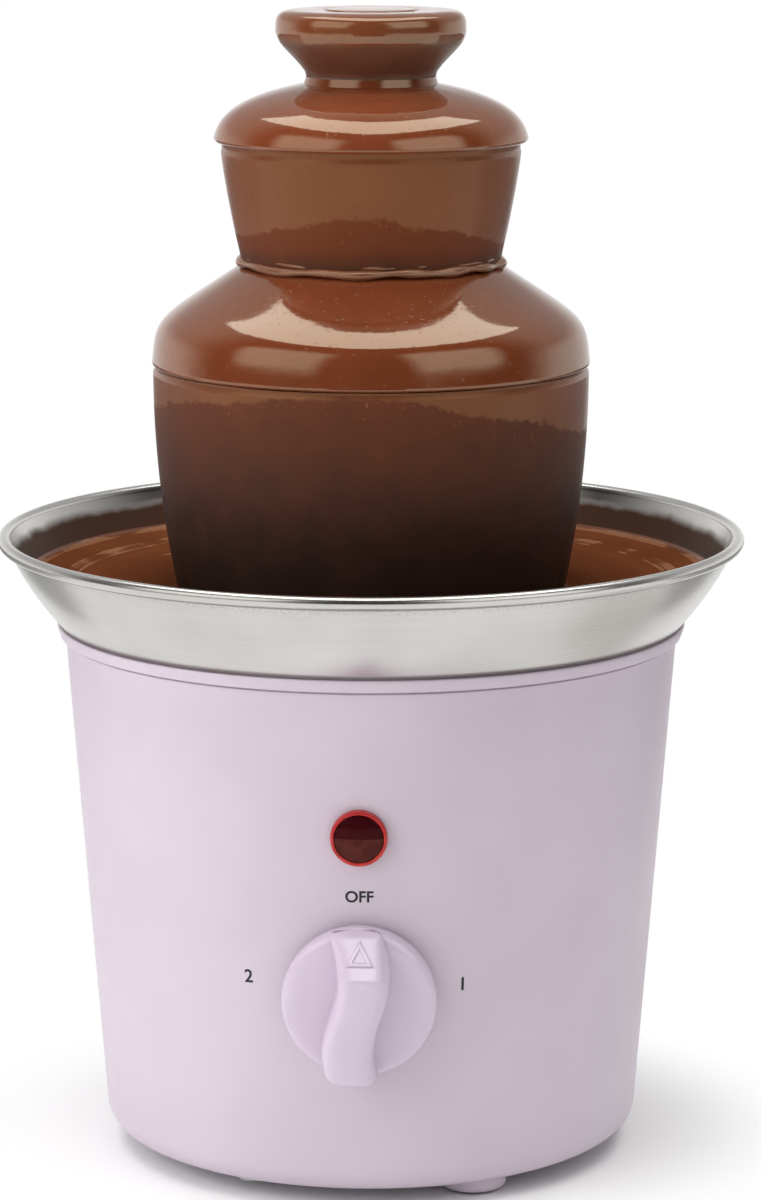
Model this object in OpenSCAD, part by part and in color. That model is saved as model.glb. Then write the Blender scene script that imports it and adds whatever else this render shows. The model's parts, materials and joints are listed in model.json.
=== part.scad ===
// Chocolate fountain: a heated steel bowl on a moulded base, a lift-off tower with two tiers and a crown,
// a screw that lifts the chocolate through the tower, and the gear motor, heater, switch and lamp inside.
// Millimetres. The origin is on the table under the middle, +Z is up and the front faces -Y.

/* [Housing] */
// Height of the feet below the housing
foot_h = 4; // [3:0.5:7]
// Radius of a foot
foot_r = 8.5; // [7:0.5:10]
// Housing height from its underside to the foot of the collar
housing_h = 128.5; // [122:0.5:140]
// How much narrower the housing is at its underside than at the collar
housing_taper = 9.9; // [7:0.1:12]
// Wall thickness of the moulded housing
wall = 2.4; // [2:0.1:3]
// Radius of the rounded bottom corner
corner_r = 6.6; // [5:0.1:8]
// Thickness of the base plate
plate_t = 2.5; // [2:0.1:3]
// Height of the flared collar
collar_h = 4.2; // [3.4:0.1:6]
// How far the collar flares out
collar_flare = 2.2; // [1.4:0.1:3]
// Thickness of the collar's top edge
collar_lip = 0.7; // [0.5:0.1:1.2]

/* [Bowl] */
// Outer radius of the rolled rim
bowl_rim_r = 95.5; // [92:0.5:102]
// Radius of the rolled bead's round section
bead_r = 1.6; // [1.2:0.1:2.2]
// Thickness of the steel sheet
bowl_sheet = 0.8; // [0.5:0.1:1.2]
// Outer radius of the wall's curve
bowl_curve_r = 82; // [70:0.5:100]
// Depth from the middle of the rim's bead to the flat floor
bowl_depth = 44; // [40:0.2:48]
// Height of the rim's middle above the collar's top edge
bowl_stand = 21.5; // [19:0.5:24]

/* [Chocolate] */
// Depth of the pool's edge below the rim
pool_drop = 9.2; // [7:0.2:12]
// How far the pool dips towards the tower
pool_dip = 5.5; // [2:0.5:7]
// Thickness of the film on the tiers and of the falling curtains
film_t = 1.4; // [1:0.1:2]
// How far the lower curtain draws in on its way down
lower_draw_in = 6.4; // [3:0.2:8]
// How far the upper curtain draws in on its way down
upper_draw_in = 4.4; // [3:0.2:6]

/* [Tower] */
// Bore radius of the tower tube
tube_bore_r = 12; // [11.5:0.1:13]
// Wall thickness of the tower tube
tube_wall = 1.6; // [1.2:0.1:2]
// Radius of the tower's foot flange
tower_foot_r = 24; // [22:0.5:27]
// Film radius at the lower tier's lip
lower_tier_r = 55.8; // [52:0.2:58]
// Height of the lower tier's lip above the rim
lower_lip_rise = 45.3; // [42:0.5:50]
// Height of the lower tier's dome above its lip
lower_dome_h = 23.7; // [20:0.5:26]
// Film radius at the upper tier's lip
upper_tier_r = 39.8; // [38:0.2:42]
// Height of the upper tier's lip above the lower one
upper_lip_rise = 56.8; // [54:0.5:60]
// Height of the upper tier's dome above its lip
upper_dome_h = 13.5; // [12:0.5:15]
// Film radius at the widest part of the crown
crown_r = 24.1; // [22:0.2:26]
// Height of the crown's top above the upper lip
crown_rise = 32.2; // [31:0.2:34]
// Wall thickness of the tiers and the crown
tier_t = 2; // [1.5:0.1:2.5]

/* [Screw and drive] */
// Radius of the lifting screw's core
auger_core_r = 7; // [6.5:0.1:8]
// Gap between the screw's flight and the tube
auger_gap = 0.6; // [0.4:0.1:1]
// Distance that the flight climbs in one turn
auger_pitch = 22; // [18:0.5:28]
// Thickness of the flight
flight_t = 2; // [1.5:0.1:3]
// Radius of the drive spindle
spindle_r = 4; // [3.5:0.1:4.5]
// Gear module
gear_m = 0.8; // [0.7:0.05:0.85]
// Radius of the motor's can
can_r = 26; // [25:0.5:29]
// Height of the motor's can
can_h = 42; // [38:1:46]

/* [Controls] */
// Height of the knob's middle above the housing's underside
knob_rise = 52.3; // [45:0.5:60]
// Radius of the knob's disc
knob_r = 19; // [17:0.5:21]
// How far the knob stands out from the wall
knob_h = 18; // [15:0.5:20]
// Height of the lamp's middle above the housing's underside
lamp_rise = 93.1; // [88:0.5:100]
// Radius of the lamp's lens flange
lamp_r = 7; // [6.5:0.1:8]
// Height of the cord gland's middle above the housing's underside
gland_rise = 17; // [15:0.5:24]
// Bore radius of the cord gland, for the power cord
gland_bore_r = 3.5; // [3:0.1:4]

/* [Hidden] */
$fn = 96;

// Colours as the photo shows them
lilac = "#d5c7d6";
steel = "#c9cbcf";
dark_steel = "#7d8187";
brass = "#c8a24a";
ivory = "#e9e3d2";
chocolate = "#6b3516";
rubber = "#3b3b3d";
copper = "#b8672f";
lens_red = "#b3151d";

// Clearances: a fixed fit, a running fit, a seat and a lift-off piece
fit = 0.02;
run = 0.05;
seat = 0.2;
loose = 0.3;
// A cut reaches this far past the face that it opens
cut = 1;

// Levels of the housing and bowl, from the table up
underside_z = foot_h;
plate_top_z = underside_z + plate_t;
collar_z = underside_z + housing_h;
collar_top_z = collar_z + collar_h;
rim_z = collar_top_z + bowl_stand;
floor_z = rim_z - bowl_depth;
floor_under_z = floor_z - bowl_sheet;

// The gearbox sets the bowl's floor: its flange, the studs just outside it and the heater plate about them
wheel_teeth = 40;
case_gap = 1.2;
case_wall = 2;
case_in_r = gear_m * (wheel_teeth / 2 + 1) + case_gap;
case_out_r = case_in_r + case_wall;
gear_screw_in = 5.5;
gear_screw_edge = 5;
gear_screw_circle_r = case_out_r + gear_screw_in;
flange_r = gear_screw_circle_r + gear_screw_edge;
screw_head_r = 3;
stud_gap = 1.4;
stud_edge = 5.5;
stud_circle_r = flange_r + stud_gap + screw_head_r;
heater_plate_r = stud_circle_r + stud_edge;
heater_inset = 2;
bowl_floor_r = heater_plate_r + heater_inset;

// The bowl's wall is an arc from the floor's edge up to just inside the bead's middle
bead_c = bowl_rim_r - bead_r;
wall_top_r = bead_c - bead_r / 8;
chord_r = wall_top_r - bowl_floor_r;
chord_z = rim_z - floor_under_z;
chord = norm([chord_r, chord_z]);
sagitta_r = sqrt(pow(bowl_curve_r, 2) - pow(chord / 2, 2));
curve_c = (bowl_floor_r + wall_top_r) / 2 - sagitta_r * chord_z / chord;
curve_z = (floor_under_z + rim_z) / 2 + sagitta_r * chord_r / chord;

// Radius of the bowl's outer face at height z, grown outwards along the curve's radius
function bowl_at(z, grow = 0) = curve_c + sqrt(pow(bowl_curve_r + grow, 2) - pow(curve_z - z, 2));

// Points of the bowl's curve from height z0 to z1, grown by an offset
function bowl_arc(z0, z1, grow, n) = [for (i = [0:n])
    let (a0 = asin((curve_z - z0) / (bowl_curve_r + grow)))
    let (a1 = asin((curve_z - z1) / (bowl_curve_r + grow)))
    let (a = a0 + (a1 - a0) * i / n)
    [curve_c + (bowl_curve_r + grow) * cos(a), curve_z - (bowl_curve_r + grow) * sin(a)]];

// The housing is a cone that widens upwards to the collar, which carries the bowl
collar_r = bowl_at(collar_top_z, loose) + collar_lip;
housing_top_r = collar_r - collar_flare;
housing_foot_r = housing_top_r - housing_taper;
taper_a = atan(housing_taper / housing_h);
function wall_at(z) = housing_foot_r + housing_taper / housing_h * (z - underside_z);

corner_z = underside_z + corner_r;
corner_c = wall_at(corner_z) - corner_r / cos(taper_a);
base_open_r = corner_c - 1.9;

// An inner ledge carries the bowl on a wedge-shaped gasket
ledge_drop = 12.7;
ledge_t = 3.5;
ledge_top_z = collar_top_z - ledge_drop;
ledge_under_z = ledge_top_z - ledge_t;
gasket_t = 0.7;
gasket_w = 6;
gasket_in_r = bowl_at(ledge_top_z + gasket_t, fit);

// Three posts inside the housing carry the base plate below and the motor bracket above
post_r = 5;
post_circle_r = base_open_r - 3.5;
post_rib_t = 3;
post_angles = [0, 120, 240];
foot_angles = [60, 180, 300];
foot_circle_r = base_open_r - 5.5;
foot_stem_r = 3;
pad_r = foot_r - 2;
pad_out = 0.4;
pad_t = 1.6;
screw_r = 1.5;
screw_head_t = 2;
screw_len = 12;

// Under the bowl: heater plate, standoffs, bracket and the gear motor, from the bowl's floor down
hub_stem_r = 7;
hub_flange_r = 11;
hub_flange_t = 2;
hub_tube_r = 8;
hub_h = 12;
hub_washer_t = 0.8;
seal_t = 2.4;
nut_t = 6;
nut_r = 12.7;
heater_plate_t = 2;
heater_under_z = floor_under_z - heater_plate_t;
element_r = 3;
element_ring_r = 20;
element_sweep = 320;
stud_r = 2;
stud_len = 9;
standoff_r = 4;
standoff_len = 15;
standoff_screw_in = 4;
bracket_t = 2;
bracket_r = stud_circle_r + stud_edge;
bracket_arm_w = 14;
bracket_top_z = heater_under_z - standoff_len;
bracket_under_z = bracket_top_z - bracket_t;
thermostat_r = 6.5;
thermostat_h = 9;
sensor_circle_r = element_ring_r + element_r + thermostat_r + 1.5;

// Gear train: rotor pinion to idler wheel, idler pinion to output gear, on two parallel axes
rotor_teeth = 15;
idler_teeth = 18;
output_teeth = 37;
pressure_a = 20;
addendum = 0.9;
dedendum = 1.15;
backlash = 0.12;
flank_steps = 3;
idler_a = 60;
gear_distance = gear_m * (rotor_teeth + wheel_teeth) / 2;
lid_t = 2;
case_h = 22;
case_floor_t = 2;
flange_t = 2;
gear_screw_r = 1.25;
gear_screw_head_r = 2.4;
gear_screw_angles = [150, 210, 270, 330];
lid_top_z = bracket_under_z - fit;
lid_z = lid_top_z - lid_t;
case_top_z = lid_z - fit;
case_under_z = case_top_z - case_h;
case_floor_z = case_under_z + case_floor_t;
wheel_z = case_floor_z + 2;
wheel_w = 5;
output_z = wheel_z + wheel_w + 2;
output_w = 6;
gear_hub_wall = 4;
idler_pin_r = 1.5;
idler_hub_r = 3.5;
can_wall = 1.2;
can_under_z = case_under_z - can_h;
rotor_shaft_r = 2;
rotor_bush_r = 5;
rotor_bush_h = 4;
winding_room = 9.5;
rotor_room = 14;
rotor_lift = 5.6;
air_gap = 1.5;
rotor_r = can_r - winding_room;
rotor_h = can_h - rotor_room;
rotor_z = can_under_z + rotor_lift;
coil_in_r = rotor_r + air_gap;
coil_out_r = can_r - can_wall - seat;

// The spindle stands in the lid's bush and the bowl's hub, and its flatted end drives the screw
spindle_z = output_z - 0.4;
hub_top_z = floor_z + hub_washer_t + hub_h;
seal_top_z = hub_top_z + seal_t;
flat_z = seal_top_z + 1.5;
flat_len = 18;
flat_x = 0.62 * spindle_r;
bush_r = spindle_r + 3;
bush_flange_r = bush_r + 2;
bush_flange_t = 1.2;
collar_ring_r = spindle_r + 3.5;
collar_ring_h = 3;

// Levels and radii of the tower
tube_r = tube_bore_r + tube_wall;
tower_z = floor_z + seat / 2;
tower_foot_t = 3;
tower_foot_top_z = tower_z + tower_foot_t;
pin_r = 2.5;
pin_stem_r = 1.5;
pin_circle_r = (tube_r + tower_foot_r) / 2;
pin_h = 5;
inlet_h = 3.6;
inlet_w = 9;
lower_lip_z = rim_z + lower_lip_rise;
upper_lip_z = lower_lip_z + upper_lip_rise;
crown_top_z = upper_lip_z + crown_rise;
sleeve_r = tube_r + 1.6;
sleeve_in_r = tube_r + run;
sleeve_drop = 18;
shoulder_t = 2;
shoulder_z = lower_lip_z - sleeve_drop;
sleeve_rise = 9;
lower_sleeve_top_z = lower_lip_z + lower_dome_h + sleeve_rise;
upper_sleeve_top_z = upper_lip_z + upper_dome_h;
neck_film_t = 1.2;
neck_film_r = sleeve_r + neck_film_t;
lower_dome_in_r = upper_tier_r - 5.8;
upper_dome_in_r = neck_film_r + 0.6;
film_gap = 0.1;
crown_neck_z = upper_lip_z + upper_dome_h + 2;
crown_rim_z = crown_top_z - 4.8;
tube_top_z = crown_neck_z + 3.4;
cup_r = crown_r - film_t - film_gap;

// Levels of the chocolate and the screw
pool_z = rim_z - pool_drop;
pool_in_z = pool_z - pool_dip;
pool_hole_r = tower_foot_r + 2 * loose;
curtain_foot_z = pool_in_z + loose;
auger_r = tube_bore_r - auger_gap;
auger_seat_gap = 0.6;
auger_z = flat_z - auger_seat_gap;
auger_drop = 8.5;
auger_top_z = crown_top_z - auger_drop;
flight_lift = 2;
flight_z = auger_z + flight_lift;
flight_top_z = auger_top_z - auger_core_r / 2 - flight_t - loose;
well_gap = 0.05;
well_r = auger_r - well_gap;

// Front controls and rear gland, each square to the tapered wall
knob_z = underside_z + knob_rise;
lamp_z = underside_z + lamp_rise;
gland_z = underside_z + gland_rise;
boss_depth = wall + 2.6;
switch_r = 13;
switch_depth = 18;
switch_wall = 1.8;
switch_bush_r = 5;
switch_screw_x = [-0.7 * switch_r, 0.7 * switch_r];
switch_cover_t = 1.5;
tab_pitch = 5;
tab_places = [-1.5, -0.5, 0.5, 1.5];
tab_size = [3.2, 0.8, 8];
shaft_r = 3;
shaft_flat = 2;
knob_gap = 0.8;
knob_disc_h = 6.4;
grip_w = 13;
grip_wave = 2;
lamp_stem_r = lamp_r - 1.5;
lamp_holder_r = lamp_stem_r + 2.1;
lamp_holder_len = 14;
bulb_r = 3;
gland_r = gland_bore_r + 2.9;
gland_flange_r = gland_r + 2;
gland_flange_t = 2.4;
gland_nut_t = 4;
terminal_size = [30, 16, 12];
terminal_ways = 3;
terminal_pitch = terminal_size[0] / terminal_ways;
terminal_at = [-24, 28];

// Ends of the internal leads, each just clear of what it joins
lead_r = 0.9;
lead_sides = 8;
lead_gap = 0.4;
element_tail_a = 26;
heater_lead_rise = 4.6;
motor_lead_rise = 12.6;
function block_end(way) = [
    terminal_at[0] + terminal_pitch * way,
    terminal_at[1] - terminal_size[1] / 2 - lead_gap,
    plate_top_z + terminal_size[2] / 2];
function tab_end(place) =
    let (depth = boss_depth + switch_depth + tab_size[2] + lead_gap)
    [tab_pitch * place, depth * cos(taper_a) - wall_at(knob_z), knob_z + depth * sin(taper_a)];
function heater_end(side) =
    let (r = element_ring_r + element_r / 2 + lead_gap)
    [side * r * sin(element_tail_a), -r * cos(element_tail_a), bracket_top_z + heater_lead_rise];
function motor_end(angle) =
    let (r = can_r + lead_gap)
    [r * cos(angle), r * sin(angle), can_under_z + motor_lead_rise];

// Route of a lead from end to end, by steps from its start and then by steps from its finish
function route(start, finish, after_start, before_finish) = concat(
    [start], [for (p = after_start) start + p], [for (p = before_finish) finish + p], [finish]);
lead_routes = [
    route(tab_end(-1.5), heater_end(-1), [[0, 3, 1.4], [0, -1, 13.4]],
        [[1.6, -27, -13], [0.6, -24, -2], [0, -14, 1]]),
    route(block_end(1), heater_end(1), [[0, -8, -1], [8, -28, -3], [24, -52, -3], [31, -63, 12]],
        [[6.4, -25, -41], [3.4, -27, -17], [0.4, -24, -2], [0, -14, 1]]),
    route(block_end(0), tab_end(-0.5), [[0, -8, -1], [8, -36, -3], [18, -54, 1]],
        [[-0.5, 5, -18.7], [0, 6, -2.7]]),
    route(tab_end(0.5), motor_end(270), [[0, 5, -0.7], [-0.5, 8, -8.7]], [[0, -4.4, 1]]),
    route(block_end(-1), motor_end(180), [[0, -8, 0.5], [-2, -16, 11.5]], [[-5.4, 0, -2]])];

// Points of a cubic curve from a to d, pulled towards b and c
function curve(a, b, c, d, n) = [for (i = [0:n])
    let (t = i / n)
    let (s = 1 - t)
    s * s * s * a + 3 * s * s * t * b + 3 * s * t * t * c + t * t * t * d];

// Points of a circular arc about c from angle a0 to a1
function arc(c, r, a0, a1, n) = [for (i = [0:n])
    let (a = a0 + (a1 - a0) * i / n)
    [c[0] + r * cos(a), c[1] + r * sin(a)]];

function reversed(p) = [for (i = [len(p) - 1:-1:0]) p[i]];

// Outer line of a tier's dome from its inner radius to its lip, set back by d
function dome(in_r, lip_r, lip_z, h, d) = curve(
    [in_r - 0.4 * d, lip_z + h - 0.9 * d],
    [in_r + 0.54 * (lip_r - in_r) - 0.6 * d, lip_z + 0.73 * h - 0.9 * d],
    [lip_r - d, lip_z + 0.55 * h - 0.6 * d],
    [lip_r - d, lip_z], 12);

// Line of a falling curtain, which draws in as the power p of its drop, set back by d
function curtain(top_r, top_z, foot_z, draw_in, p, d) = [for (i = [0:8])
    let (u = i / 8)
    [top_r - draw_in * pow(u, p) - d, top_z - (top_z - foot_z) * u]];

// Outline of a spur gear with involute flanks, one tooth centred on +X
function involute(a) = tan(a) * 180 / PI - a;
function gear_outline(teeth) =
    let (pitch_r = gear_m * teeth / 2)
    let (base_r = pitch_r * cos(pressure_a))
    let (root_r = pitch_r - dedendum * gear_m)
    let (tip_r = pitch_r + addendum * gear_m)
    let (low_r = max(base_r, root_r))
    let (half_a = 90 / teeth - backlash / 2 / pitch_r * 180 / PI + involute(pressure_a))
    let (flank = [for (i = [0:flank_steps])
        let (r = low_r + (tip_r - low_r) * i / flank_steps)
        [r, half_a - involute(acos(min(1, base_r / r)))]])
    let (side = concat([[root_r, flank[0][1]]], flank))
    [for (k = [0:teeth - 1])
        for (p = concat([for (q = side) [q[0], -q[1]]], reversed(side)))
            [p[0] * cos(p[1] + 360 * k / teeth), p[0] * sin(p[1] + 360 * k / teeth)]];

// Helical flight as rings of four points, two on the core and two at the edge
flight_steps = 24;
flight_rings = floor((flight_top_z - flight_z) / auger_pitch * flight_steps);
function flight_ring(i) =
    let (a = 360 * i / flight_steps)
    let (z = flight_z + auger_pitch * i / flight_steps)
    let (in_r = (auger_core_r + fit) / cos(180 / flight_steps))
    [for (p = [[in_r, 0], [auger_r, 0], [auger_r, flight_t], [in_r, flight_t]])
        [p[0] * cos(a), p[0] * sin(a), z + p[1]]];

// Points on a smooth line through all of p, n to a span
function smooth(p, n) = [for (i = [0:len(p) - 2]) for (k = [0:(i == len(p) - 2 ? n : n - 1)])
    let (a = p[max(i - 1, 0)])
    let (b = p[i])
    let (c = p[i + 1])
    let (d = p[min(i + 2, len(p) - 1)])
    let (t = k / n)
    0.5 * (2 * b + (c - a) * t + (2 * a - 5 * b + 4 * c - d) * t * t + (3 * b - a - 3 * c + d) * t * t * t)];

function unit(v) = v / norm(v);

// Round tube of a few sides along a line of points
module tube_along(p, r, sides) {
    n = len(p) - 1;
    lean = [0.8, 0.1, 0.6];
    points = [for (i = [0:n])
        let (way = unit(p[min(i + 1, n)] - p[max(i - 1, 0)]))
        let (u = unit(cross(way, lean)))
        let (v = cross(way, u))
        for (k = [0:sides - 1]) p[i] + r * (cos(360 * k / sides) * u + sin(360 * k / sides) * v)];
    skin = [for (i = [0:n - 1]) for (k = [0:sides - 1])
        let (a = i * sides + k)
        let (b = i * sides + (k + 1) % sides)
        each [[a, b, a + sides], [b, b + sides, a + sides]]];
    ends = [for (k = [1:sides - 2]) each [[0, k + 1, k], [n * sides, n * sides + k, n * sides + k + 1]]];
    polyhedron(points, concat(skin, ends));
}

// Puts children at an angle about the axis and a radius
module at_polar(angle, radius) {
    rotate([0, 0, angle]) translate([radius, 0, 0]) children();
}

// Puts children on the housing's outer wall at height z, with local +Z square to it and pointing out
module on_wall(z, turn = 0) {
    rotate([0, 0, turn]) translate([0, -wall_at(z), z]) rotate([90 + taper_a, 0, 0]) children();
}

// Cylinder between two levels
module rod(r, z0, z1) {
    translate([0, 0, z0]) cylinder(r = r, h = z1 - z0);
}

// Ring between two levels
module ring(r_out, r_in, z0, z1) {
    difference() {
        rod(r_out, z0, z1);
        rod(r_in, z0 - cut, z1 + cut);
    }
}

// Screw with a round head below z, its shank rising from there
module screw_up(r, head_r, head_t, z, length) {
    rod(head_r, z - head_t, z);
    rod(r, z - fit, z + length);
}

// Gearbox outline with a round end about each gear axis and straight sides
module gearbox_outline(r, z0, z1) {
    rotate([0, 0, idler_a]) translate([0, 0, z0]) linear_extrude(height = z1 - z0)
        polygon(concat(arc([0, 0], r, 90, 270, 20), arc([gear_distance, 0], r, -90, 90, 20)));
}

// Gear between two levels, with a tooth pointing at an angle
module gear(teeth, angle, z0, z1) {
    translate([0, 0, z0]) rotate([0, 0, angle]) linear_extrude(height = z1 - z0) polygon(gear_outline(teeth));
}

// Spindle end with a flat, grown by a clearance
module flatted_end(grow, z0, z1) {
    intersection() {
        rod(spindle_r + grow, z0, z1);
        translate([-2 * spindle_r, -2 * spindle_r, z0])
            cube([2 * spindle_r + flat_x + grow, 4 * spindle_r, z1 - z0]);
    }
}

// Flat pad behind the wall on local -Z, its front sunk into the wall
module wall_boss(r, z) {
    sink = pow(r, 2) / (2 * wall_at(z)) + 0.3;
    translate([0, 0, -boss_depth]) cylinder(r = r, h = boss_depth - sink);
}

module housing_shell() {
    inner_r = corner_r - wall;
    rotate_extrude() polygon(concat(
        [[base_open_r, underside_z]],
        arc([corner_c, corner_z], corner_r, -90, -taper_a, 6),
        [[housing_top_r, collar_z], [collar_r, collar_top_z]],
        reversed(bowl_arc(collar_z, collar_top_z, loose, 2)),
        [[wall_at(ledge_top_z) - wall, ledge_top_z], [gasket_in_r, ledge_top_z]],
        [[gasket_in_r, ledge_under_z], [wall_at(ledge_under_z) - wall, ledge_under_z]],
        reversed(arc([corner_c, corner_z], inner_r, -90, -taper_a, 6)),
        [[base_open_r, underside_z + wall]]));
}

module post() {
    rod(post_r, plate_top_z, bracket_under_z);
    rotate([90, 0, 0]) translate([0, 0, -post_rib_t / 2]) linear_extrude(height = post_rib_t) polygon([
        [0, corner_z], [wall_at(corner_z) - wall / 2 - post_circle_r, corner_z],
        [wall_at(bracket_under_z) - wall / 2 - post_circle_r, bracket_under_z], [0, bracket_under_z]]);
}

module housing() {
    color(lilac) difference() {
        union() {
            housing_shell();
            for (a = post_angles) at_polar(a, post_circle_r) post();
            on_wall(knob_z) wall_boss(switch_r + 1, knob_z);
            on_wall(lamp_z) wall_boss(lamp_holder_r + 1, lamp_z);
            on_wall(gland_z, 180) wall_boss(gland_flange_r + 1, gland_z);
        }
        for (a = post_angles) at_polar(a, post_circle_r) {
            rod(screw_r + fit, plate_top_z - cut, plate_top_z + screw_len + cut);
            rod(screw_r + fit, bracket_under_z - screw_len - cut, bracket_under_z + cut);
        }
        on_wall(knob_z) {
            rod(switch_bush_r + run, -boss_depth - cut, cut);
            for (x = switch_screw_x) translate([x, 0, 0])
                rod(gear_screw_r + fit, -boss_depth - cut, -wall);
        }
        on_wall(lamp_z) rod(lamp_stem_r + run, -boss_depth - cut, cut);
        on_wall(gland_z, 180) rod(gland_r + run, -boss_depth - cut, cut);
    }
}

module base_plate() {
    vent_r = 0.62 * base_open_r;
    vent_w = 3;
    color(lilac) difference() {
        rod(base_open_r - loose, underside_z, plate_top_z);
        for (a = post_angles) at_polar(a, post_circle_r)
            rod(screw_r + 2 * run, underside_z - cut, plate_top_z + cut);
        for (a = foot_angles) at_polar(a, foot_circle_r)
            rod(foot_stem_r + fit, underside_z - cut, plate_top_z + cut);
        for (a = [0:15:345]) at_polar(a, vent_r / 2)
            translate([0, -vent_w / 2, underside_z - cut]) cube([vent_r / 2, vent_w, plate_t + 2 * cut]);
    }
}

// Six alike: three hold the base plate under the posts and three hold the bracket on top of them
module post_screws() {
    color(steel) for (a = post_angles) at_polar(a, post_circle_r) {
        screw_up(screw_r, screw_head_r, screw_head_t, underside_z, screw_len + plate_t);
        rod(screw_head_r, bracket_top_z, bracket_top_z + screw_head_t);
        rod(screw_r, bracket_under_z - screw_len, bracket_top_z + fit);
    }
}

module feet() {
    round_r = 1.6;
    stem_top_z = plate_top_z + 2;
    color(lilac) for (a = foot_angles) at_polar(a, foot_circle_r) {
        difference() {
            rotate_extrude() polygon(concat([[0, pad_out]],
                arc([foot_r - round_r, pad_out + round_r], round_r, -90, 0, 4),
                [[foot_r, underside_z], [foot_stem_r, underside_z], [foot_stem_r, stem_top_z],
                    [0, stem_top_z]]));
            rod(pad_r + fit, -cut, pad_t);
        }
    }
}

module foot_pads() {
    color(rubber) for (a = foot_angles) at_polar(a, foot_circle_r) rod(pad_r, 0, pad_t);
}

module bowl() {
    hole_r = hub_stem_r + run;
    color(steel) difference() {
        union() {
            rotate_extrude() polygon(concat(
                [[hole_r, floor_under_z]], bowl_arc(floor_under_z, rim_z, 0, 14),
                reversed(bowl_arc(floor_z, rim_z, -bowl_sheet, 14)), [[hole_r, floor_z]]));
            rotate_extrude() translate([bead_c, rim_z]) circle(r = bead_r);
        }
        for (a = post_angles) at_polar(a, pin_circle_r)
            rod(pin_stem_r + fit, floor_under_z - cut, floor_z + cut);
    }
}

module bowl_gasket() {
    out_r = gasket_in_r + gasket_w;
    top_z = curve_z - sqrt(pow(bowl_curve_r + fit, 2) - pow(out_r - curve_c, 2));
    color(rubber) rotate_extrude() polygon(concat(
        [[gasket_in_r, ledge_top_z], [out_r, ledge_top_z]],
        reversed(bowl_arc(ledge_top_z + gasket_t, top_z, fit, 4))));
}

module bowl_studs() {
    color(steel) for (a = post_angles) at_polar(a, stud_circle_r)
        rod(stud_r, floor_under_z - stud_len, floor_under_z);
}

module locating_pins() {
    color(steel) for (a = post_angles) at_polar(a, pin_circle_r) {
        rod(pin_r, floor_z, floor_z + pin_h);
        rod(pin_stem_r, floor_under_z, floor_z + fit);
    }
}

module spindle_hub() {
    flange_z = floor_z + hub_washer_t;
    color(brass) difference() {
        union() {
            rod(hub_flange_r, flange_z, flange_z + hub_flange_t);
            rod(hub_tube_r, flange_z, hub_top_z);
            rod(hub_stem_r, heater_under_z - nut_t - 1, flange_z + fit);
        }
        rod(spindle_r + run, heater_under_z - nut_t - 1 - cut, hub_top_z + cut);
    }
}

module hub_washer() {
    color(rubber) ring(hub_flange_r, hub_stem_r + run, floor_z, floor_z + hub_washer_t);
}

module hub_nut() {
    color(brass) difference() {
        translate([0, 0, heater_under_z - nut_t]) cylinder(r = nut_r, h = nut_t, $fn = 6);
        rod(hub_stem_r + fit, heater_under_z - nut_t - cut, heater_under_z + cut);
    }
}

module shaft_seal() {
    lip_r = spindle_r + 1.2;
    in_r = spindle_r + run;
    color(rubber) rotate_extrude() polygon([[in_r, hub_top_z], [hub_tube_r, hub_top_z],
        [hub_tube_r, hub_top_z + seal_t / 2], [lip_r, seal_top_z], [in_r, seal_top_z]]);
}

module heater_plate() {
    color(steel) difference() {
        rod(heater_plate_r, heater_under_z, floor_under_z);
        rod(hub_stem_r + run, heater_under_z - cut, floor_under_z + cut);
        for (a = post_angles) at_polar(a, stud_circle_r)
            rod(stud_r + run, heater_under_z - cut, floor_under_z + cut);
    }
}

module heating_element() {
    ring_z = heater_under_z - element_r - fit;
    color(dark_steel) {
        rotate([0, 0, 90 - element_sweep / 2]) rotate_extrude(angle = element_sweep)
            translate([element_ring_r, ring_z]) circle(r = element_r);
        for (a = [270 - element_tail_a, 270 + element_tail_a]) at_polar(a, element_ring_r)
            rod(element_r / 2, bracket_top_z + 2, ring_z);
    }
}

module thermostat() {
    color(dark_steel) at_polar(180, sensor_circle_r) {
        rod(thermostat_r, heater_under_z - thermostat_h, heater_under_z);
        for (y = [-1, 1]) translate([-0.4, y * thermostat_r / 2 - 1.5, heater_under_z - thermostat_h - 4])
            cube([0.8, 3, 4 + fit]);
    }
}

module thermal_fuse() {
    body_r = 2.2;
    body_len = 14;
    wire_len = 5;
    wire_r = 0.5;
    color(ivory) at_polar(300, sensor_circle_r) translate([0, 0, heater_under_z - body_r - fit])
        rotate([90, 0, 0]) translate([0, 0, -body_len / 2]) {
            cylinder(r = body_r, h = body_len);
            translate([0, 0, -wire_len]) cylinder(r = wire_r, h = body_len + 2 * wire_len);
        }
}

module standoffs() {
    color(steel) for (a = post_angles) at_polar(a, stud_circle_r)
        ring(standoff_r, stud_r + run, bracket_top_z, heater_under_z);
}

module standoff_screws() {
    color(steel) for (a = post_angles) at_polar(a, stud_circle_r)
        screw_up(stud_r, screw_head_r, screw_head_t, bracket_under_z, bracket_t + standoff_screw_in);
}

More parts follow.
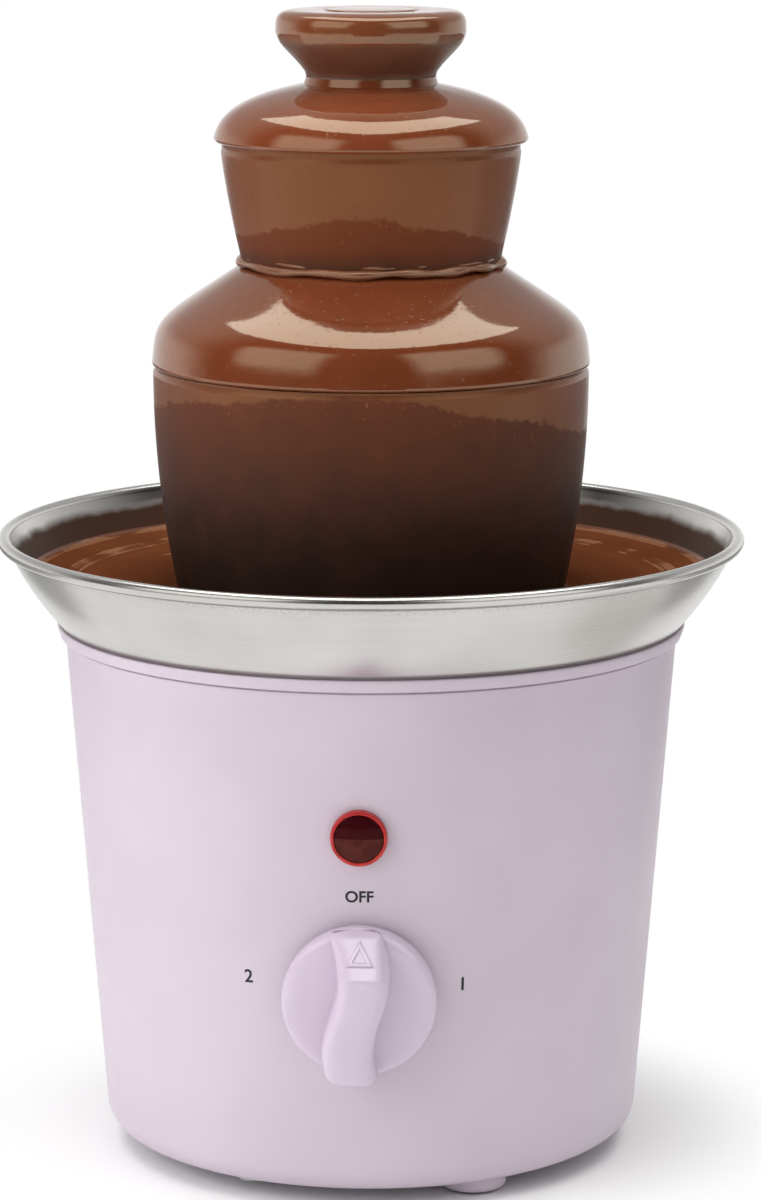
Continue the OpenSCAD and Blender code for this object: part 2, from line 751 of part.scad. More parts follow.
module motor_bracket() {
    color(dark_steel) difference() {
        union() {
            rod(bracket_r, bracket_under_z, bracket_top_z);
            for (a = post_angles) rotate([0, 0, a]) {
                translate([0, -bracket_arm_w / 2, bracket_under_z])
                    cube([post_circle_r, bracket_arm_w, bracket_t]);
                translate([post_circle_r, 0, 0]) rod(bracket_arm_w / 2, bracket_under_z, bracket_top_z);
            }
        }
        rod(bush_r + fit, bracket_under_z - cut, bracket_top_z + cut);
        for (a = post_angles) {
            at_polar(a, post_circle_r) rod(screw_r + run, bracket_under_z - cut, bracket_top_z + cut);
            at_polar(a, stud_circle_r) rod(stud_r + run, bracket_under_z - cut, bracket_top_z + cut);
        }
        for (a = gear_screw_angles) at_polar(a, gear_screw_circle_r)
            rod(gear_screw_r + fit, bracket_under_z - cut, bracket_top_z + cut);
    }
}

// Insulated leads: from the terminal block to the switch, heater and motor, and from the switch on
module internal_leads() {
    color(rubber) for (route = lead_routes) tube_along(smooth(route, 3), lead_r, lead_sides);
}

module gearbox_case() {
    color(dark_steel) difference() {
        union() {
            gearbox_outline(case_out_r, case_under_z, case_top_z);
            rod(flange_r, case_top_z - flange_t, case_top_z);
            rod(can_r, case_under_z, case_floor_z);
        }
        gearbox_outline(case_in_r, case_floor_z, case_top_z + cut);
        rod(rotor_bush_r + fit, case_under_z - cut, case_floor_z + cut);
        at_polar(idler_a, gear_distance) rod(idler_pin_r + fit, case_under_z - cut, case_floor_z + cut);
        for (a = gear_screw_angles) at_polar(a, gear_screw_circle_r)
            rod(gear_screw_r + run, case_top_z - flange_t - cut, case_top_z + cut);
    }
}

module gearbox_lid() {
    color(steel) difference() {
        union() {
            gearbox_outline(case_out_r, lid_z, lid_top_z);
            rod(flange_r, lid_z, lid_top_z);
        }
        rod(bush_r + fit, case_top_z - cut, lid_top_z + cut);
        at_polar(idler_a, gear_distance) rod(idler_pin_r + fit, case_top_z - cut, lid_top_z + cut);
        for (a = gear_screw_angles) at_polar(a, gear_screw_circle_r)
            rod(gear_screw_r + run, case_top_z - cut, lid_top_z + cut);
    }
}

module gearbox_screws() {
    color(steel) for (a = gear_screw_angles) at_polar(a, gear_screw_circle_r)
        screw_up(gear_screw_r, gear_screw_head_r, screw_head_t, case_top_z - flange_t,
            flange_t + lid_t + bracket_t);
}

module idler_pin() {
    color(steel) at_polar(idler_a, gear_distance) rod(idler_pin_r, case_under_z, lid_top_z);
}

module spindle_bush() {
    color(brass) difference() {
        union() {
            rod(bush_r, case_top_z - 1, bracket_top_z);
            rod(bush_flange_r, bracket_top_z, bracket_top_z + bush_flange_t);
        }
        rod(spindle_r + run, case_top_z - 1 - cut, bracket_top_z + bush_flange_t + cut);
    }
}

module motor_can() {
    color(steel) difference() {
        rod(can_r, can_under_z, case_under_z);
        rod(can_r - can_wall, can_under_z + can_wall, case_under_z + cut);
        rod(rotor_bush_r + fit, can_under_z - cut, can_under_z + can_wall + cut);
    }
}

module stator_coil() {
    color(copper) ring(coil_out_r, coil_in_r, can_under_z + can_wall, rotor_z + rotor_h);
}

module rotor_bushes() {
    color(brass) {
        ring(rotor_bush_r, rotor_shaft_r + run, can_under_z, can_under_z + rotor_bush_h);
        ring(rotor_bush_r, rotor_shaft_r + run, case_under_z - 1, case_floor_z);
    }
}

module rotor_shaft() {
    color(steel) rod(rotor_shaft_r, can_under_z + 0.6, wheel_z + wheel_w + 0.6);
}

module rotor_magnet() {
    color(rubber) ring(rotor_r, rotor_shaft_r + fit, rotor_z, rotor_z + rotor_h);
}

module rotor_pinion() {
    color(brass) difference() {
        gear(rotor_teeth, idler_a + 180 / rotor_teeth, wheel_z - 0.4, wheel_z + wheel_w + 0.4);
        rod(rotor_shaft_r + fit, wheel_z - cut, wheel_z + wheel_w + cut);
    }
}

module idler_gear() {
    back_a = idler_a + 180;
    color(ivory) at_polar(idler_a, gear_distance) rotate([0, 0, -idler_a]) difference() {
        union() {
            gear(wheel_teeth, back_a, wheel_z, wheel_z + wheel_w);
            gear(idler_teeth, back_a + 180 / idler_teeth, wheel_z + wheel_w - fit, output_z + output_w + 0.4);
            rod(idler_hub_r, case_floor_z + seat, case_top_z - seat);
        }
        rod(idler_pin_r + run, case_floor_z - cut, case_top_z + cut);
    }
}

module output_gear() {
    hub_r = spindle_r + gear_hub_wall;
    color(ivory) difference() {
        union() {
            gear(output_teeth, idler_a, output_z, output_z + output_w);
            rod(hub_r, output_z, case_top_z - 1 - seat);
        }
        rod(spindle_r + fit, output_z - cut, case_top_z + cut);
    }
}

module drive_spindle() {
    color(steel) union() {
        rod(spindle_r, spindle_z, flat_z);
        flatted_end(0, flat_z - fit, flat_z + flat_len);
    }
}

module thrust_collar() {
    low_z = bracket_top_z + bush_flange_t + seat;
    color(steel) ring(collar_ring_r, spindle_r + fit, low_z, low_z + collar_ring_h);
}

module auger_core() {
    color(ivory) difference() {
        union() {
            rod(auger_core_r, auger_z, auger_top_z - auger_core_r / 2);
            translate([0, 0, auger_top_z - auger_core_r / 2 - fit])
                cylinder(r1 = auger_core_r, r2 = auger_core_r / 2, h = auger_core_r / 2);
        }
        rod(spindle_r + loose, auger_z - cut, flat_z + seat);
        flatted_end(loose / 2, auger_z - cut, flat_z + flat_len + seat);
    }
}

module auger_flight() {
    n = flight_rings;
    points = [for (i = [0:n]) each flight_ring(i)];
    sides = [for (i = [0:n - 1]) for (k = [0:3])
        let (a = 4 * i + k)
        let (b = 4 * i + (k + 1) % 4)
        each [[a, a + 4, b], [b, a + 4, b + 4]]];
    ends = [[0, 1, 2], [0, 2, 3], [4 * n, 4 * n + 2, 4 * n + 1], [4 * n, 4 * n + 3, 4 * n + 2]];
    color(ivory) polyhedron(points, concat(sides, ends));
}

module chocolate_well() {
    low_z = auger_top_z - auger_core_r / 2;
    color(chocolate) difference() {
        rotate_extrude() polygon(concat([[0, low_z], [well_r, low_z], [well_r, crown_top_z - 1]],
            curve([well_r - 0.6, crown_top_z - 0.4], [well_r * 0.7, crown_top_z + 0.2],
                [well_r * 0.4, crown_top_z], [0, crown_top_z], 6)));
        rod(auger_core_r + fit, low_z - cut, auger_top_z + seat);
    }
}

module tower_tube() {
    color(ivory) difference() {
        union() {
            rod(tube_r, tower_z, tube_top_z);
            rod(tower_foot_r, tower_z, tower_foot_top_z);
            rod(sleeve_r, shoulder_z - shoulder_t, shoulder_z);
        }
        rod(tube_bore_r, tower_z - cut, tube_top_z + cut);
        for (a = post_angles) at_polar(a, pin_circle_r)
            rod(pin_r + loose, tower_z - cut, tower_foot_top_z + cut);
        for (a = [30:60:330]) rotate([0, 0, a])
            translate([tube_bore_r / 2, -inlet_w / 2, tower_foot_top_z + 1]) cube([tube_r, inlet_w, inlet_h]);
    }
}

// A tier: a sleeve on the tube and a dome from the sleeve's wall to the lip
module tier(in_r, lip_r, lip_z, h, sleeve_z0, sleeve_z1) {
    d = film_t + film_gap;
    root_z = lip_z + h - d;
    difference() {
        union() {
            rod(sleeve_r, sleeve_z0, sleeve_z1);
            rotate_extrude() polygon(concat([[sleeve_in_r, root_z + (in_r - sleeve_r) / 4]],
                dome(in_r, lip_r, lip_z, h, d), reversed(dome(in_r, lip_r, lip_z, h, d + tier_t)),
                [[sleeve_in_r, root_z - 2 * tier_t + (in_r - sleeve_r) / 4]]));
        }
        rod(sleeve_in_r, sleeve_z0 - cut, sleeve_z1 + cut);
    }
}

module lower_tier() {
    color(ivory) tier(lower_dome_in_r, lower_tier_r, lower_lip_z, lower_dome_h,
        shoulder_z, lower_sleeve_top_z);
}

module upper_tier() {
    color(ivory) tier(upper_dome_in_r, upper_tier_r, upper_lip_z, upper_dome_h,
        lower_sleeve_top_z, upper_sleeve_top_z);
}

// The crown's cup: a sleeve on the tube's top end that flares into a dish
module crown_dish() {
    seat_z = tube_top_z + seat;
    bed_z = tube_top_z + tier_t;
    color(ivory) rotate_extrude() polygon([
        [sleeve_in_r, upper_sleeve_top_z], [sleeve_r, upper_sleeve_top_z], [sleeve_r, crown_neck_z],
        [cup_r - 1.5, crown_rim_z - 3.6], [cup_r, crown_rim_z - 1], [cup_r, crown_rim_z],
        [cup_r - tier_t, crown_rim_z], [tube_bore_r + 1, bed_z], [tube_bore_r, bed_z],
        [tube_bore_r, seat_z], [sleeve_in_r, seat_z]]);
}

module lower_chocolate() {
    lip_drop = 4.1;
    top_z = lower_lip_z - lip_drop;
    start_r = lower_dome_in_r - 6;
    start_z = lower_lip_z + lower_dome_h + 2;
    color(chocolate) rotate_extrude() polygon(concat(
        [[start_r, start_z]], dome(lower_dome_in_r, lower_tier_r, lower_lip_z, lower_dome_h, 0),
        curtain(lower_tier_r, top_z, curtain_foot_z, lower_draw_in, 2, 0),
        reversed(curtain(lower_tier_r, top_z, curtain_foot_z, lower_draw_in, 2, film_t)),
        reversed(dome(lower_dome_in_r, lower_tier_r, lower_lip_z, lower_dome_h, film_t)),
        [[start_r, start_z - film_t]]));
}

module upper_chocolate() {
    lip_drop = 3.7;
    lip_in = 1.8;
    top_z = upper_lip_z - lip_drop;
    top_r = upper_tier_r - lip_in;
    foot_z = lower_lip_z + lower_dome_h + 1.2;
    neck_z = crown_neck_z - 0.2;
    neck_in_r = sleeve_r + film_gap;
    color(chocolate) rotate_extrude() polygon(concat(
        [[neck_film_r, neck_z]], dome(upper_dome_in_r, upper_tier_r, upper_lip_z, upper_dome_h, 0),
        arc([upper_tier_r - lip_in, upper_lip_z], lip_in, -15, -75, 3),
        curtain(top_r, top_z, foot_z, upper_draw_in, 1.15, 0),
        reversed(curtain(top_r, top_z, foot_z, upper_draw_in, 1.15, film_t)),
        [[upper_tier_r - lip_in - film_t, upper_lip_z - film_gap]],
        reversed(dome(upper_dome_in_r, upper_tier_r, upper_lip_z, upper_dome_h, film_t)),
        [[neck_in_r, upper_lip_z + upper_dome_h - 0.6], [neck_in_r, neck_z]]));
}

module crown_chocolate() {
    bed_z = tube_top_z + tier_t;
    color(chocolate) rotate_extrude() polygon(concat(
        [[sleeve_r + film_gap, crown_neck_z], [neck_film_r, crown_neck_z]],
        curve([neck_film_r + 0.3, crown_neck_z + 1], [neck_film_r + 3, crown_neck_z + 5],
            [crown_r, crown_rim_z - 4], [crown_r, crown_rim_z - 0.6], 8),
        curve([crown_r - 0.05, crown_rim_z + 0.6], [crown_r, crown_rim_z + 3.4],
            [crown_r - 3, crown_top_z - 0.4], [crown_r - 6.6, crown_top_z - 0.3], 6),
        [[well_r + loose, crown_top_z - 0.8], [well_r + loose, bed_z + 0.6],
            [tube_bore_r + 0.8, bed_z + film_gap + 0.2],
            [cup_r - tier_t - film_gap, crown_rim_z + film_gap],
            [cup_r + film_gap, crown_rim_z + film_gap], [cup_r + film_gap, crown_rim_z - 1],
            [cup_r - 1.5 + film_gap, crown_rim_z - 3.7]]));
}

module chocolate_pool() {
    edge_r = bowl_at(pool_z, -bowl_sheet - film_gap);
    flat_r = lower_tier_r - lower_draw_in + 2;
    low_z = floor_z + film_gap;
    color(chocolate) rotate_extrude() polygon(concat(
        [[pool_hole_r, low_z]], bowl_arc(low_z, pool_z, -bowl_sheet - film_gap, 10),
        [for (i = [1:6])
            let (u = 1 - i / 6)
            [flat_r + (edge_r - flat_r) * u, pool_in_z + pool_dip * pow(u, 1.3)]],
        [[pool_hole_r, pool_in_z]]));
}

module switch_body() {
    color(ivory) on_wall(knob_z) difference() {
        union() {
            rod(switch_r, -boss_depth - switch_depth, -boss_depth);
            rod(switch_bush_r, -boss_depth - fit, 0);
        }
        rod(switch_r - switch_wall, -boss_depth - switch_depth - cut, -boss_depth - switch_wall);
        rod(shaft_r + run, -boss_depth - switch_wall - cut, cut);
        for (x = switch_screw_x) translate([x, 0, 0])
            rod(gear_screw_r + run, -boss_depth - switch_wall - cut, -boss_depth + cut);
    }
}

module switch_cover() {
    cover_z = -boss_depth - switch_depth;
    color(dark_steel) on_wall(knob_z) difference() {
        rod(switch_r, cover_z - switch_cover_t, cover_z);
        for (k = tab_places) translate([tab_pitch * k, 0, cover_z - switch_cover_t / 2])
            cube([tab_size[0] + 2 * fit, tab_size[1] + 2 * fit, switch_cover_t + 2 * cut], center = true);
    }
}

module switch_terminals() {
    tail_z = -boss_depth - switch_depth - tab_size[2];
    inner_len = 1.5;
    color(brass) on_wall(knob_z) for (k = tab_places)
        translate([tab_pitch * k - tab_size[0] / 2, -tab_size[1] / 2, tail_z])
            cube(tab_size + [0, 0, inner_len]);
}

module switch_screws() {
    low_z = -boss_depth - switch_wall;
    head_r = 1.8;
    head_t = 1.2;
    color(steel) on_wall(knob_z) for (x = switch_screw_x) translate([x, 0, 0])
        screw_up(gear_screw_r, head_r, head_t, low_z, boss_depth + switch_wall - wall);
}

module switch_shaft() {
    color(ivory) on_wall(knob_z) difference() {
        rod(shaft_r, -boss_depth - switch_depth + 4, knob_h - 8);
        translate([shaft_flat, -shaft_r, knob_gap]) cube([shaft_r, 2 * shaft_r, knob_h]);
    }
}

module switch_cam() {
    cam_r = 5.6;
    color(dark_steel) on_wall(knob_z) difference() {
        union() {
            rod(cam_r, -boss_depth - switch_depth + 5, -boss_depth - switch_wall - 3);
            for (a = [90, 210, 330]) rotate([0, 0, a]) translate([cam_r - 0.6, 0, 0])
                rod(1.2, -boss_depth - switch_depth + 6, -boss_depth - switch_wall - 5);
        }
        rod(shaft_r + fit, -boss_depth - switch_depth, -boss_depth);
    }
}

// Knob: a domed disc with a wavy bar across it, which slopes down to its pointer end
module control_knob() {
    top_h = knob_gap + knob_disc_h;
    edge_h = top_h - 1.2;
    reach = knob_r + 1;
    wave = [for (i = [0:12])
        let (y = -reach + 2 * reach * i / 12)
        [grip_wave * sin(180 * (y + 2) / reach) - 0.6, y]];
    color(lilac) on_wall(knob_z) difference() {
        union() {
            rotate_extrude() polygon(concat(
                [[0, knob_gap], [knob_r - 0.6, knob_gap], [knob_r, knob_gap + 0.6]],
                arc([knob_r - 1.4, edge_h - 1.4], 1.4, 0, 60, 3), [[0, top_h]]));
            intersection() {
                linear_extrude(height = knob_h) polygon(concat(
                    [for (p = wave) p + [grip_w / 2, 0]], reversed([for (p = wave) p - [grip_w / 2, 0]])));
                rod(knob_r + 0.3, knob_gap + 2, knob_h);
                translate([-grip_w, 0, 0]) rotate([90, 0, 90]) linear_extrude(height = 2 * grip_w) polygon([
                    [-reach, knob_gap], [reach, knob_gap], [reach, top_h + 0.6], [reach * 0.55, knob_h - 3.6],
                    [reach * 0.2, knob_h - 0.8], [-reach * 0.35, knob_h], [-reach * 0.8, knob_h - 1],
                    [-reach, knob_h - 3.4]]);
            }
        }
        difference() {
            rod(shaft_r + fit, knob_gap - cut, knob_h - 8 + seat);
            translate([shaft_flat + fit, -shaft_r - cut, knob_gap - 2 * cut])
                cube([shaft_r, 2 * shaft_r + 2 * cut, knob_h + cut]);
        }
    }
}

module lamp_lens() {
    rim_h = 2.2;
    color(lens_red) on_wall(lamp_z) difference() {
        rotate_extrude() polygon(concat(
            [[0, -boss_depth + 0.6], [lamp_stem_r, -boss_depth + 0.6], [lamp_stem_r, run], [lamp_r, run]],
            arc([lamp_r - 0.7, rim_h - 0.7], 0.7, 0, 90, 3),
            [[lamp_r - 0.95, rim_h - 0.5]],
            curve([lamp_r - 1.1, rim_h - 0.4], [lamp_r - 2.2, rim_h + 0.5],
                [2, rim_h + 0.9], [0, rim_h + 0.9], 5)));
        rod(lamp_stem_r - 1.2, -boss_depth, rim_h - 1.4);
    }
}

module lamp_holder() {
    back_z = -boss_depth - lamp_holder_len;
    color(ivory) on_wall(lamp_z) difference() {
        rod(lamp_holder_r, back_z, -boss_depth);
        rod(bulb_r + 0.8, back_z + 2, -boss_depth + cut);
        for (x = [-1.2, 1.2]) translate([x, 0, 0]) rod(0.4, back_z - cut, back_z + 2 + cut);
    }
}

module neon_bulb() {
    back_z = -boss_depth - lamp_holder_len + 2 + seat;
    color("#e6c9b0") on_wall(lamp_z) {
        rod(bulb_r, back_z, -boss_depth + 1);
        translate([0, 0, -boss_depth + 1 - fit]) cylinder(r1 = bulb_r, r2 = bulb_r / 2, h = 1.5);
    }
}

module cord_gland() {
    color(rubber) on_wall(gland_z, 180) difference() {
        union() {
            rod(gland_flange_r, run, gland_flange_t);
            rod(gland_r, -boss_depth - gland_nut_t - 2, run + fit);
        }
        rod(gland_bore_r, -boss_depth - gland_nut_t - 2 - cut, gland_flange_t + cut);
    }
}

module gland_nut() {
    nut_corner_r = gland_r + 3;
    color(rubber) on_wall(gland_z, 180) difference() {
        translate([0, 0, -boss_depth - gland_nut_t]) cylinder(r = nut_corner_r, h = gland_nut_t, $fn = 6);
        rod(gland_r + fit, -boss_depth - gland_nut_t - cut, -boss_depth + cut);
    }
}

module terminal_block() {
    wire_r = 1.8;
    screw_hole_r = 1.6;
    color(ivory) translate([terminal_at[0], terminal_at[1], plate_top_z]) difference() {
        translate([-terminal_size[0] / 2, -terminal_size[1] / 2, 0]) cube(terminal_size);
        for (way = [-1:1]) translate([terminal_pitch * way, 0, terminal_size[2] / 2]) {
            translate([0, terminal_size[1] / 2 + cut, 0]) rotate([90, 0, 0])
                cylinder(r = wire_r, h = terminal_size[1] + 2 * cut);
            for (y = [-1, 1]) translate([0, y * terminal_size[1] / 4, 0])
                cylinder(r = screw_hole_r, h = terminal_size[2]);
        }
    }
}

housing();
base_plate();
post_screws();
feet();
foot_pads();
bowl();
bowl_gasket();
bowl_studs();
locating_pins();
spindle_hub();
hub_washer();
hub_nut();
shaft_seal();
heater_plate();
heating_element();
thermostat();
thermal_fuse();
standoffs();
standoff_screws();
motor_bracket();
internal_leads();
gearbox_case();
gearbox_lid();
gearbox_screws();
idler_pin();
spindle_bush();
motor_can();
stator_coil();
rotor_bushes();
rotor_shaft();
rotor_magnet();
rotor_pinion();
idler_gear();
output_gear();
drive_spindle();
thrust_collar();
auger_core();
auger_flight();
chocolate_well();
tower_tube();
lower_tier();
upper_tier();
crown_dish();
lower_chocolate();
upper_chocolate();
crown_chocolate();
chocolate_pool();
switch_body();
switch_cover();
switch_terminals();
switch_screws();
switch_shaft();
switch_cam();
control_knob();
lamp_lens();
lamp_holder();
neon_bulb();
cord_gland();
gland_nut();
terminal_block();
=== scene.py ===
"""Dress a two-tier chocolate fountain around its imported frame.

Lengths are in millimetres until a mesh is made, where MM turns them into metres. The studio is in
metres throughout. Angles round the fountain are in radians, counted from the front (-Y) towards
the right (+X).
"""

import json
import logging
import math
from collections.abc import Callable
from dataclasses import dataclass
from enum import Enum
from typing import Any

import bmesh
import bpy
import numpy as np
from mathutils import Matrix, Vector

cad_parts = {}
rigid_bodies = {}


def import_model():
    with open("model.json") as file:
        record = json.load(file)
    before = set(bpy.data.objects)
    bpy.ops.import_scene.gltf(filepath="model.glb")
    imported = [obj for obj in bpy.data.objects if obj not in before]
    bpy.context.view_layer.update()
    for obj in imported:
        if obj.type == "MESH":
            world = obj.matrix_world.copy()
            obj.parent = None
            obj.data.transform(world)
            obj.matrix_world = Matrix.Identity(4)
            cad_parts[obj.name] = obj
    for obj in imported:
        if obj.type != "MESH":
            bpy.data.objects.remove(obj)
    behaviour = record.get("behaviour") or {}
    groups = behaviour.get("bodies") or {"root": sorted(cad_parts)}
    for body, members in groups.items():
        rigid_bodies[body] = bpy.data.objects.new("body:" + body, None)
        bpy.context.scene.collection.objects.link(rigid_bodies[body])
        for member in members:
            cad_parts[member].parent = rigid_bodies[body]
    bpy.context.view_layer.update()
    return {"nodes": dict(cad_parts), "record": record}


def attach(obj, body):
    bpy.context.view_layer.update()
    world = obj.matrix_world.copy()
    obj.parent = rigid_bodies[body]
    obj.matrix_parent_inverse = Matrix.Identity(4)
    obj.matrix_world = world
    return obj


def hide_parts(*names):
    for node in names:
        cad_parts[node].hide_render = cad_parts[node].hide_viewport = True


for stray in list(bpy.data.objects):
    bpy.data.objects.remove(stray)
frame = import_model()

MM = 0.001
TAU = 2 * math.pi
CRISP = 50.0
Colour = tuple[float, float, float]
log = logging.getLogger("fountain")


class Body(Enum):
    """The frame's bodies that new pieces ride on."""

    BASE = "base"
    TOWER = "tower"
    AUGER = "auger"
    KNOB = "knob"


class Slot(Enum):
    """The record's finishes."""

    LILAC = "lilac_plastic"
    BOWL = "bowl_steel"
    ZINC = "zinc_steel"
    DARK_STEEL = "dark_steel"
    ALUMINIUM = "heater_aluminium"
    BRASS = "brass"
    IVORY = "ivory_plastic"
    CHOCOLATE = "chocolate"
    RUBBER = "rubber"
    DARK_PLASTIC = "dark_plastic"
    MAGNET = "magnet"
    COPPER = "copper"
    LENS = "lens_red"
    GLASS = "bulb_glass"


class Link:
    """An output socket in a paint; operators on links and numbers add Math nodes."""

    def __init__(self, paint: "Paint", socket: bpy.types.NodeSocket) -> None:
        """Wrap one output socket of a paint's nodes."""
        self.paint = paint
        self.socket = socket

    def math(self, operation: str, *terms: "Link | float") -> "Link":
        """Add a Math node over the terms."""
        return self.paint.node("ShaderNodeMath", {"operation": operation}, dict(enumerate(terms)))

    def __add__(self, other: "Link | float") -> "Link":
        """Add, link first."""
        return self.math("ADD", self, other)

    def __radd__(self, other: float) -> "Link":
        """Add, number first."""
        return self.math("ADD", other, self)

    def __sub__(self, other: "Link | float") -> "Link":
        """Subtract from the link."""
        return self.math("SUBTRACT", self, other)

    def __rsub__(self, other: float) -> "Link":
        """Subtract the link from a number."""
        return self.math("SUBTRACT", other, self)

    def __mul__(self, other: "Link | float") -> "Link":
        """Multiply, link first."""
        return self.math("MULTIPLY", self, other)

    def __rmul__(self, other: float) -> "Link":
        """Multiply, number first."""
        return self.math("MULTIPLY", other, self)

    def __truediv__(self, other: "Link | float") -> "Link":
        """Divide the link."""
        return self.math("DIVIDE", self, other)

    def __pow__(self, power: float) -> "Link":
        """Raise the link to a power."""
        return self.math("POWER", self, power)

    def between(self, low: float, high: float) -> "Link":
        """Rise smoothly from 0 at low to 1 at high."""
        return self.paint.node("ShaderNodeMapRange", {"interpolation_type": "SMOOTHSTEP"},
                               {"Value": self, "From Min": low, "From Max": high})


class Paint:
    """The node tree of one material, with the few nodes that the finishes share."""

    def __init__(self, name: str) -> None:
        """Start an empty material.

        Args:
            name: its name.
        """
        self.material = bpy.data.materials.new(name)
        self.material.use_nodes = True
        self.tree = self.material.node_tree
        self.tree.nodes.clear()

    def node(self, kind: str, settings: dict[str, Any] | None = None,
             inputs: dict[str | int, Any] | None = None, output: str | int = 0) -> Link:
        """Add a node.

        Args:
            kind: the node's type.
            settings: its properties, set first; stops are a ramp's (place, colour) pairs.
            inputs: links or plain values for its sockets, by name or number.
            output: the output socket that is wanted.

        Returns:
            The wanted output as a link.
        """
        made = self.tree.nodes.new(kind)
        for key, value in (settings or {}).items():
            if key == "stops":
                self._set_stops(made.color_ramp.elements, value)
            else:
                setattr(made, key, value)
        for key, value in (inputs or {}).items():
            if isinstance(value, Link):
                self.tree.links.new(value.socket, made.inputs[key])
            else:
                made.inputs[key].default_value = value
        return Link(self, made.outputs[output])

    @staticmethod
    def _set_stops(elements: Any, stops: list[tuple[float, Colour]]) -> None:
        """Give a colour ramp its stops.

        Args:
            elements: the ramp's own stops.
            stops: the (place, colour) pairs that it gets.
        """
        while len(elements) < len(stops):
            elements.new(1.0)
        for element, (place, colour) in zip(elements, stops):
            element.position = place
            element.color = (*colour, 1.0)

    def place(self) -> Link:
        """Object coordinates, in metres."""
        return self.node("ShaderNodeTexCoord", output="Object")

    def axis(self, name: str) -> Link:
        """One Object coordinate, in millimetres."""
        return self.node("ShaderNodeSeparateXYZ", inputs={0: self.place()}, output=name) / MM

    def radius(self) -> Link:
        """Distance from the fountain's axis, in millimetres."""
        return (self.axis("X") ** 2.0 + self.axis("Y") ** 2.0) ** 0.5

    def noise(self, size: float, detail: float = 2.0, stretch: Colour = (1.0, 1.0, 1.0)) -> Link:
        """Cloudy noise from 0 to 1.

        Args:
            size: the clouds' size in millimetres.
            detail: octaves of finer noise.
            stretch: how much finer the clouds are along X, Y and Z.

        Returns:
            The noise as a link.
        """
        where = self.node("ShaderNodeMapping", inputs={"Vector": self.place(), "Scale": stretch})
        return self.node("ShaderNodeTexNoise", inputs={
            "Vector": where, "Scale": 1 / (size * MM), "Detail": detail})

    def rings(self, size: float) -> Link:
        """Lines turned round the axis: noise on the radius and the height alone."""
        where = self.node("ShaderNodeCombineXYZ", inputs={0: self.radius() * MM, 2: self.axis("Z") * MM})
        return self.node("ShaderNodeTexNoise", inputs={
            "Vector": where, "Scale": 1 / (size * MM), "Detail": 3.0})

    def mix(self, share: Link, low: "Colour | Link", high: "Colour | Link") -> Link:
        """Mix two colours.

        Args:
            share: how much of the second colour shows, from 0 to 1.
            low: the first colour, as a link or a plain colour.
            high: the second colour, likewise.

        Returns:
            The mixed colour as a link.
        """
        low = low if isinstance(low, Link) else (*low, 1.0)
        high = high if isinstance(high, Link) else (*high, 1.0)
        return self.node("ShaderNodeMix", {"data_type": "RGBA"}, {0: share, 6: low, 7: high}, 2)

    def bump(self, height: Link, depth: float) -> Link:
        """Bump from a height of 0 to 1 that stands for a depth in millimetres."""
        return self.node("ShaderNodeBump", inputs={"Strength": 1.0, "Distance": depth * MM, "Height": height})

    def output(self, shader: Link) -> bpy.types.Material:
        """Join a shader to the material's output.

        Args:
            shader: the shader.

        Returns:
            The finished material.
        """
        end = self.tree.nodes.new("ShaderNodeOutputMaterial")
        self.tree.links.new(shader.socket, end.inputs["Surface"])
        return self.material

    def shader(self, **inputs: Any) -> Link:
        """Add a Principled shader.

        Args:
            inputs: its sockets, with _ for a space in a name.

        Returns:
            The shader's output.
        """
        named = {key.replace("_", " "): value for key, value in inputs.items()}
        return self.node("ShaderNodeBsdfPrincipled", inputs=named)

    def finish(self, **inputs: Any) -> bpy.types.Material:
        """End in one Principled shader with these sockets."""
        return self.output(self.shader(**inputs))

    def parted(self, share: Link, low: Link, high: Link) -> bpy.types.Material:
        """End in two shaders that a share from 0 to 1 parts."""
        return self.output(self.node("ShaderNodeMixShader", inputs={0: share, 1: low, 2: high}))

    def lit(self, colour: Link, level: float = 1.0) -> bpy.types.Material:
        """End in a plain glow of a colour."""
        return self.output(self.node("ShaderNodeEmission", inputs={0: colour, 1: level}))


def toned(colour: Colour, factor: float) -> Colour:
    """A colour made darker or lighter by a factor."""
    return tuple(factor * value for value in colour)


@dataclass(frozen=True)
class Finish:
    """What most finishes share: a name, and the lighter and the deeper colour that they drift between."""

    name: str
    light: Colour
    deep: Colour


@dataclass(frozen=True)
class Moulded(Finish):
    """Moulded plastic, rubber or print: faint clouds in the colour and a fine grain."""

    roughness: float = 0.42
    grain: float = 0.7
    depth: float = 0.012
    coat: float = 0.0
    handling: float = 0.08

    def paint(self) -> bpy.types.Material:
        """Make the material.

        Returns:
            The material.
        """
        paint = Paint(self.name)
        clouds = paint.noise(38.0, 3.0)
        grain = paint.noise(self.grain, 1.0)
        touched = paint.noise(9.0, 4.0).between(0.35, 0.75)
        return paint.finish(
            Base_Color=paint.mix(clouds.between(0.3, 0.7), self.deep, self.light),
            Roughness=self.roughness + self.handling * touched + 0.06 * (grain - 0.5),
            Coat_Weight=self.coat,
            Coat_Roughness=0.16,
            Normal=paint.bump(grain, self.depth))


class Lay(Enum):
    """How the fine lines in a metal run."""

    ROUND = "turned round the axis"
    RISING = "drawn along the height"
    EVEN = "tumbled, with no direction"


